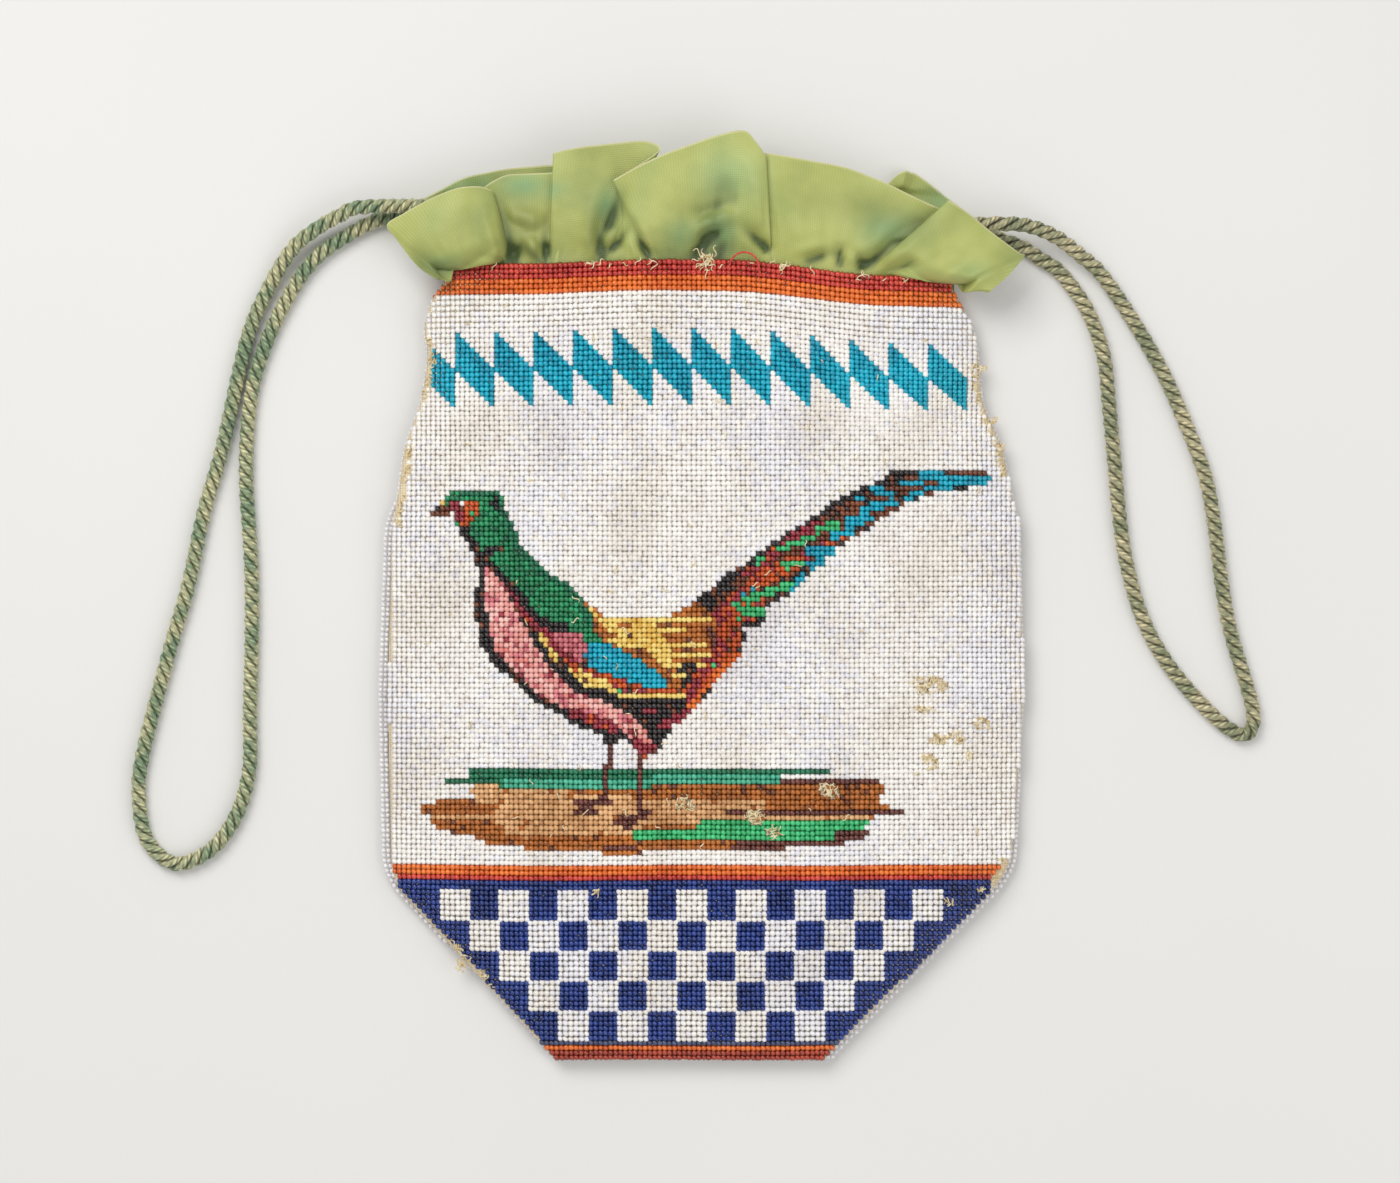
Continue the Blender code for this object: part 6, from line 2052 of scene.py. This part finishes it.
@dataclass
class Drawcord:
    """A drawcord of three twisted strands: one whole loop that runs through the mouth and lies outside."""

    name: str
    node: str
    start_x: float
    turn_x: float
    y: float
    loop: tuple[tuple[float, ...], ...]
    length: float
    gimp: GimpCord
    diameter: float = 5.0
    low_strand: float = 3.8
    high_strand: float = 13.3
    join: float = 1.0
    run_shares: tuple[float, ...] = (0.25, 0.5, 0.75)
    turn_points: int = 5
    route_steps: int = 24
    spacing: float = 1.0
    strands: int = 3
    lay: float = 11.7
    strand_offset: float = 1.27
    strand_radius: float = 1.2
    level_to_x: float = 84.0
    upright_over: float = 16.0
    groove: float = 1.5
    groove_fade: float = 0.8
    sides: int = 8

    @property
    def outward(self) -> float:
        """Say which way the cord leaves the mouth: -1 for left and 1 for right."""
        return math.copysign(1.0, self.start_x)

    @property
    def exit_x(self) -> float:
        """Give the x at which the cord leaves the mouth."""
        return float(POUCH.along(self.outward, self.y - self.diameter))

    def route(self) -> Points:
        """List the cord's own points from the join in the mouth, round its loop and back.

        Returns:
            One row of x, y and z for each point.
        """
        radius = (self.high_strand - self.low_strand) / 2
        middle = (self.high_strand + self.low_strand) / 2
        lying = [(*point, self.diameter / 2) if len(point) == 2 else point for point in self.loop]
        angles = [math.pi * step / (self.turn_points - 1) for step in range(self.turn_points)]
        bulge = self.outward * radius
        turn = [
            (self.turn_x - bulge * math.sin(angle), self.y, middle - radius * math.cos(angle))
            for angle in angles
        ]
        low_run, high_run = (
            [(begin + (end - begin) * share, self.y, height) for share in self.run_shares]
            for begin, end, height in (
                (self.exit_x, self.turn_x, self.low_strand),
                (self.turn_x, self.start_x, self.high_strand),
            )
        )
        return np.array([
            (self.start_x, self.y, self.high_strand),
            (self.exit_x, self.y, self.high_strand),
            *lying,
            (self.exit_x, self.y, self.low_strand),
            *low_run,
            *turn,
            *high_run,
            (self.start_x - self.outward * self.join, self.y, self.high_strand),
        ])

    def centreline(self) -> Points:
        """Read points off the smooth route at even distances, never lower than the cord's radius.

        Returns:
            One row of x, y and z for each point.
        """
        curve = smooth_curve(self.route(), self.route_steps)
        gone = way_gone(curve)
        line = read_along(curve, gone, np.linspace(0, gone[-1], round(gone[-1] / self.spacing) + 1))
        line[:, 2] = np.maximum(line[:, 2], self.diameter / 2)
        return line

    def twist(self, line: Points) -> tuple[Points, Points, Points]:
        """Lay the strands' middles round the centreline.

        A strand's middle is the centreline plus the strand offset, turned once for each lay length.
        The directions across the cord come from a fixed vector: level in the mouth, upright outside.

        Args:
            line: the cord's centreline.

        Returns:
            The middles, and two directions across each strand, strand by strand along the cord.
        """
        heading = unit(np.gradient(line, axis=0))
        outside = ease((np.abs(line[:, 0]) - self.level_to_x) / self.upright_over)[:, None]
        guide = unit((1 - outside) * np.array([0.0, 1.0, 0.0]) + outside * np.array([0.0, 0.0, 1.0]))
        first = unit(np.cross(heading, guide))
        second = np.cross(heading, first)
        start = np.arange(self.strands)[:, None] * 2 * math.pi / self.strands
        angle = start - (np.arange(len(line)) * self.spacing)[None] * 2 * math.pi / self.lay
        radial = np.cos(angle)[..., None] * first + np.sin(angle)[..., None] * second
        middle = line + radial * self.strand_offset
        ahead = unit(np.gradient(middle, axis=1))
        radial = unit(radial - ahead * (radial * ahead).sum(axis=-1, keepdims=True))
        return middle, radial, np.cross(ahead, radial)

    def build(self) -> bpy.types.Object:
        """Twist three strands round the centreline and write them as one piece.

        Returns:
            The cord.
        """
        line = self.centreline()
        points = ring_points(*self.twist(line), self.strand_radius, self.sides)
        faces = tube_faces(self.strands, len(line), self.sides)
        piece = write_mesh(self.name, points.reshape(-1, 3), *faces)
        # Proud: 0 in the grooves between strands, which the material darkens as painted shade, to 1 on the
        # strands' outsides
        away = np.linalg.norm(points - line[None, :, None], axis=-1)
        store_value(piece, "Proud", ease((away - self.groove) / self.groove_fade).ravel())
        gone = np.arange(len(line)) * self.spacing
        turn = np.arange(self.sides) * 2 * math.pi / self.sides
        along = np.broadcast_to((gone / 10)[None, :, None], away.shape)
        around = np.broadcast_to((turn * self.strand_radius / 10)[None, None], away.shape)
        store_uv(piece, "Lay", np.stack([along, around], axis=-1).reshape(-1, 2))
        mount(piece, self.gimp.make(), self.node)
        return piece


# Floor, light and camera


@dataclass(frozen=True)
class Lamp:
    """A square lamp that points at the bag: its place and side in metres, and its strength in watts."""

    name: str
    place: tuple[float, float, float]
    side: float
    power: float

    def hang(self) -> None:
        """Hang the lamp, turned about z and then tipped down to the middle of the table."""
        light = bpy.data.lights.new(self.name, "AREA")
        light.size = self.side
        light.energy = self.power
        thing = bpy.data.objects.new(self.name, light)
        thing.location = self.place
        across, up, down = -np.array(self.place)
        tip = math.atan2(math.hypot(across, up), -down)
        thing.rotation_euler = (tip, 0, math.atan2(up, across) - math.pi / 2)
        bpy.context.scene.collection.objects.link(thing)


@dataclass(frozen=True)
class Studio:
    """A pale table, soft daylight from the upper left, and a camera that looks straight down."""

    view_across: float = 434.0
    focal_mm: float = 135.0
    sensor_mm: float = 36.0
    look_x: float = -0.47
    look_y: float = 1.7
    focus_z: float = 17.0
    nearest_m: float = 0.01
    farthest_m: float = 20.0
    floor_half: float = 3000.0
    floor_points: int = 9
    floor_z: float = -0.05
    air: str = "F2F3F5"
    air_strength: float = 0.55
    lamps: tuple[Lamp, ...] = (
        Lamp("key", (-0.55, 0.75, 1.25), 0.9, 13.0),
        Lamp("fill", (0.9, -0.5, 1.3), 1.4, 7.5),
    )

    def build(self) -> None:
        """Make the floor, the lamps, the world and the camera."""
        scene = bpy.context.scene
        self.floor()
        for lamp in self.lamps:
            lamp.hang()
        world = bpy.data.worlds.new("studio_air")
        scene.world = world
        world.use_nodes = True
        world.node_tree.nodes.clear()
        glow = {"Color": linear(self.air), "Strength": self.air_strength}
        add(world.node_tree, "OutputWorld", links={"Surface": add(world.node_tree, "Background", glow)})
        lens = bpy.data.cameras.new("photo_camera")
        lens.lens = self.focal_mm
        lens.sensor_width = self.sensor_mm
        lens.clip_start, lens.clip_end = self.nearest_m, self.farthest_m
        camera = bpy.data.objects.new("photo_camera", lens)
        height = self.focus_z + self.view_across * self.focal_mm / self.sensor_mm
        camera.location = (self.look_x * MM, self.look_y * MM, height * MM)
        scene.collection.objects.link(camera)
        scene.camera = camera
        scene.view_settings.view_transform = "Standard"

    def floor(self) -> None:
        """Lay the table's top as a wide grid, just under the bag."""
        count = self.floor_points
        line = np.linspace(-self.floor_half, self.floor_half, count)
        x, y = np.meshgrid(line, line)
        points = np.stack([x, y, np.full_like(x, self.floor_z)], axis=-1).reshape(-1, 3)
        corners = grid_corners(count, count)
        thing = write_mesh("table_top", points, corners.ravel(), np.full(len(corners), 4))
        thing.data.materials.append(PaintedBoard().make())


# Tables of places


# Where each cord lies outside the bag: x and y, and its height where it isn't on the table
LEFT_LOOP = (
    (-105.2, 121.4, 9.6), (-112.7, 118.9, 7.9), (-120.5, 114.6, 6.2), (-128.2, 108.2, 4.4), (-136.2, 95.0),
    (-142.4, 79.7), (-149.9, 46.5), (-155.5, 27.0), (-160.7, 2.8), (-166.0, -15.5), (-174.7, -49.0),
    (-175.9, -63.2), (-173.4, -76.0), (-164.8, -83.4), (-153.9, -79.4), (-145.9, -69.1), (-141.5, -54.6),
    (-141.2, -36.9), (-140.6, -8.7), (-140.9, 11.5), (-142.4, 36.9), (-141.5, 58.0), (-138.2, 73.8),
    (-131.0, 90.6), (-121.4, 105.2), (-108.4, 114.4), (-98.0, 118.6, 3.2),
)
RIGHT_LOOP = (
    (95.0, 116.0, 12.6), (102.8, 115.2, 11.0), (110.8, 112.0, 8.8), (118.2, 106.7, 6.0),
    (125.0, 100.8, 3.6),
    (134.5, 87.1), (144.0, 70.7), (151.4, 54.2), (157.6, 37.5), (160.7, 20.5), (162.9, 2.8),
    (165.7, -11.8), (172.4, -35.0), (170.7, -42.8), (164.9, -41.2), (156.1, -33.2), (145.9, -21.1),
    (138.4, -7.8), (133.8, 6.8), (131.0, 22.6), (127.6, 58.6), (125.6, 76.0), (120.4, 90.0),
    (112.3, 101.3), (106.0, 105.6), (97.5, 110.4, 3.0),
)

# The silk's two layers. Each pleat: x at the mouth, x and y on the free edge, layers below and above
FRONT_RUFFLE = Ruffle(
    name="front_silk_ruffle",
    node="front_ruffle",
    pleats=(
        (-77.0, -82.0, 99.2, 0, -0.2), (-78.0, -88.2, 103.5, 0.2, 0), (-78.0, -94.7, 111.9, 0.4, 0.2),
        (-77.3, -97.5, 116.2, 0.6, 0.4), (-74.9, -92.2, 119.7, 0.8, 0.7), (-71.1, -84.2, 124.0, 1, 0.9),
        (-66.8, -76.1, 127.0, 1.2, 1), (-61.8, -69.3, 127.3, 1.2, 1), (-59.2, -65.6, 126.2, 1.1, 1),
        (-58.3, -64.8, 125.5, 0.6, 0.5), (-60.6, -67.4, 126.5, 0.1, 0.1), (-60.9, -67.1, 127.4, -0.1, 0),
        (-58.4, -64.0, 129.3, -0.1, 0.1), (-55.6, -59.9, 130.9, 0, 0.2), (-51.9, -53.2, 131.3, 0.1, 0.2),
        (-48.2, -46.7, 131.6, 0.1, 0.1), (-45.1, -43.2, 132.4, 0.2, 0.1), (-44.5, -42.3, 134.5, 0.5, 0.4),
        (-46.0, -44.5, 136.9, 1, 1), (-47.0, -45.5, 137.5, 1.3, 1.3), (-43.9, -37.7, 139.2, 1.5, 1.4),
        (-38.3, -27.7, 140.4, 1.5, 1.4), (-34.3, -19.7, 141.1, 1.4, 1.4), (-31.8, -15.3, 140.6, 1.3, 1.6),
        (-30.5, -12.9, 138.4, 0.9, 2.1), (-28.7, -18.8, 133.9, 0.2, 2.4), (-23.4, -25.3, 129.7, 0.2, 2.6),
        (-17.5, -27.0, 128.8, 0.7, 2.8), (-14.4, -26.2, 129.4, 1.6, 3), (-12.2, -19.7, 133.0, 1.9, 3),
        (-7.9, -12.1, 136.6, 1.9, 2.9), (-2.0, -3.6, 139.8, 1.8, 2.6), (3.3, 5.7, 143.0, 1.7, 2.4),
        (10.4, 13.1, 144.2, 1.7, 2.2), (16.3, 16.6, 141.1, 1.6, 2), (20.0, 18.9, 137.9, 1.4, 1.7),
        (21.7, 19.8, 136.1, 1, 1.2), (19.7, 17.5, 135.5, 0.3, 0.3), (17.8, 16.9, 136.4, 0, 0),
        (19.1, 18.1, 137.2, 0.1, 0.2), (22.2, 20.3, 137.5, 0.5, 0.5), (26.2, 24.6, 136.9, 0.9, 0.8),
        (32.4, 34.3, 135.1, 1.1, 1), (39.2, 44.8, 133.0, 1.1, 1), (46.0, 56.6, 128.5, 1, 1),
        (51.3, 65.3, 124.3, 0.8, 0.9), (55.3, 72.1, 121.2, 0.4, 0.5), (57.5, 78.9, 119.0, 0.1, 0.1),
        (57.2, 80.8, 118.7, 0.2, 0.3), (53.2, 78.0, 121.2, 1.1, 1), (50.7, 76.7, 122.6, 1.7, 1.5),
        (55.3, 82.0, 119.2, 1.8, 1.5), (63.1, 88.8, 114.1, 1.6, 1.3), (70.2, 95.0, 109.7, 1.2, 1),
        (75.5, 98.7, 107.1, 0.8, 0.6), (77.7, 100.0, 106.2, 0.6, 0.4), (78.6, 95.6, 100.8, 0.3, 0.2),
        (78.9, 89.1, 95.0, 0, -0.2),
    ),
    casing=16.5,
    layer=2.3,
    droops=((-58.0, -14.0, 4.4), (54.0, 14.0, 3.8)),
    # Patches of painted shade: x, y, reach across and up, and strength
    painted_shades=(
        (-55.3, 110.5, 7.0, 9.0, 0.35), (-31.0, 108.0, 4.0, 7.0, 0.3), (1.5, 109.0, 6.0, 6.0, 0.25),
        (-56.0, 120.0, 7.0, 7.0, 0.24), (-78.0, 112.0, 12.0, 12.0, 0.10), (-37.0, 120.0, 9.0, 14.0, 0.10),
        (-2.0, 116.0, 13.0, 13.0, 0.08),
    ),
    flat_width=250.0,
    flat_length=40.0,
    rests_on="left_cord",
    creases=(
        (-63.0, 124.0, -57.5, 101.5, 2.9, -3.8), (-62.0, 120.0, -52.5, 117.0, 2.6, 2.5),
        (-55.5, 112.5, -51.5, 105.0, 2.6, 3.0), (-48.5, 117.0, -48.5, 104.0, 2.2, -3.2),
        (-56.5, 110.5, -49.5, 103.5, 2.1, -2.5), (-32.5, 115.5, -30.5, 103.5, 2.1, -3.8),
        (-25.0, 126.0, -28.5, 115.5, 3.9, -3.0), (-21.5, 115.5, -27.5, 108.0, 2.0, -2.0),
        (-21.0, 115.5, -16.0, 104.0, 2.0, -3.0), (12.5, 119.0, 2.0, 115.5, 2.6, 2.2),
        (7.0, 114.5, 1.5, 111.5, 2.1, -2.5), (12.5, 115.5, 20.0, 108.0, 2.1, -2.5),
        (5.5, 133.5, 3.5, 118.5, 7.8, -1.0), (4.0, 114.5, -2.0, 105.0, 2.1, -2.8),
        (7.0, 111.5, 5.5, 104.0, 2.0, -2.0), (15.0, 139.0, 18.0, 124.0, 5.2, 2.0),
        (43.0, 108.0, 33.5, 104.0, 2.3, -2.2), (43.0, 110.5, 43.0, 103.0, 2.0, -2.8),
        (47.5, 108.0, 50.0, 102.5, 1.8, -2.2), (73.5, 120.5, 49.5, 102.0, 2.6, -2.5),
        (26.0, 124.0, 60.0, 117.0, 11.7, -1.1), (77.5, 122.0, 89.5, 97.0, 10.4, 1.8),
        (-75.5, 125.0, -71.5, 102.0, 11.7, 1.8), (-92.0, 110.5, -81.0, 100.0, 5.2, -1.8),
        (-67.5, 106.5, -59.5, 103.5, 2.0, -2.0), (57.0, 100.0, 65.0, 103.5, 2.1, -2.0),
    ),
    # The first oval paints in the blue-green reflection at the top of a shaded fold; the others are stains
    stains_and_reflections=(
        (-55.0, 127.5, 7.0, 4.0, 0.6), (-46.0, 126.0, 4.0, 3.0, 0.4), (-29.0, 121.0, 4.0, 6.0, 0.5),
        (8.0, 130.0, 9.0, 8.0, 0.45), (-6.0, 112.0, 6.0, 5.0, 0.35), (58.0, 114.0, 8.0, 5.0, 0.5),
        (5.0, 113.0, 5.0, 6.0, 0.5), (-80.0, 103.0, 6.0, 3.0, 0.4), (84.0, 101.0, 6.0, 3.0, 0.25),
    ),
)
BACK_RUFFLE = Ruffle(
    name="back_silk_ruffle",
    node="back_ruffle",
    pleats=(
        (-78.0, -89.7, 123.4, 0, 0), (-74.2, -82.3, 127.1, 0.3, 0.3), (-69.9, -74.7, 130.9, 0.2, 0.6),
        (-64.9, -68.7, 132.5, 0, 0.2), (-59.4, -61.2, 134.0, 0, 0), (-53.2, -53.2, 134.7, 0.2, 0.3),
        (-47.0, -46.0, 135.1, 0.3, 0.6), (-34.6, -31.5, 134.5, 0.3, 0.4), (-22.2, -19.1, 134.8, 0, 0),
        (-9.8, -6.7, 135.2, 0.3, 0.5), (2.6, 5.7, 134.5, 0, 0), (15.0, 18.1, 133.9, 0.3, 0.5),
        (27.4, 30.5, 132.4, 0, 0), (38.3, 42.9, 130.5, 0.2, 0.3), (46.0, 51.6, 128.0, 0.2, 0.3),
        (51.0, 57.2, 128.5, 0.3, 0.6), (55.3, 60.9, 131.6, 0.4, 1.1), (57.2, 63.5, 133.1, 0.4, 1.4),
        (58.1, 65.3, 132.7, 0.2, 1), (61.5, 68.0, 131.7, 0.1, 0.6), (67.1, 77.0, 124.9, 0, 0.3),
        (72.4, 87.0, 117.5, 0, 0.2), (75.5, 92.5, 113.2, 0, 0), (78.0, 97.5, 108.5, 0, 0),
    ),
    casing=0.72,
    layer=2.6,
    flat_width=185.0,
    flat_length=40.0,
    rests_on="back_canvas",
    stains_and_reflections=((-70.0, 127.0, 14.0, 6.0, 0.5), (75.0, 124.0, 10.0, 6.0, 0.4)),
    front=False,
    pucker=0.0,
)


def main() -> None:
    """Build the camera and cords first, then the bag from its back up."""
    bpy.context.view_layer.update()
    Studio().build()
    left_gimp = GimpCord("greenish_silk_gimp", "D0CC9C", "88A078", "1C2610")
    right_gimp = GimpCord("khaki_silk_gimp", "D4C89C", "949A72", "282410")
    cords = (
        Drawcord("left_drawcord", "left_cord", -72.0, 58.0, 121.5, LEFT_LOOP, 799.0, left_gimp),
        Drawcord("right_drawcord", "right_cord", 72.0, -74.0, 115.5, RIGHT_LOOP, 729.0, right_gimp),
    )
    for cord in cords:
        LOG.info("cord %s, %d points", cord.build().name, len(cord.centreline()))
    glass = SeedBeadGlass("opaque_seed_bead_glass").make()
    for piece in BackBeadwork().build(glass):
        LOG.info("back beads %s, %d faces", piece.name, len(piece.data.polygons))
    for piece in Canvases().build(LinenCanvas().make()):
        LOG.info("canvas %s", piece.name)
    for piece in FrontBeadwork().build(glass):
        LOG.info("front beads %s, %d faces", piece.name, len(piece.data.polygons))
    silk = SilkTaffeta().make()
    for ruffle in (BACK_RUFFLE, FRONT_RUFFLE):
        LOG.info("ruffle %s", ruffle.build(silk).name)
    threads = Threads()
    linen_thread = SewingThread("waxed_linen_thread", "F8ECC6", "DCBC7C").make()
    red_thread = SewingThread("red_cotton_thread", "DC5038", "B03022").make()
    for piece in (
        threads.seams(linen_thread),
        threads.worn(linen_thread),
        threads.rim_tufts(linen_thread),
        threads.red_loop(red_thread),
    ):
        LOG.info("threads %s", piece.name)


if __name__ == "__main__":
    main()
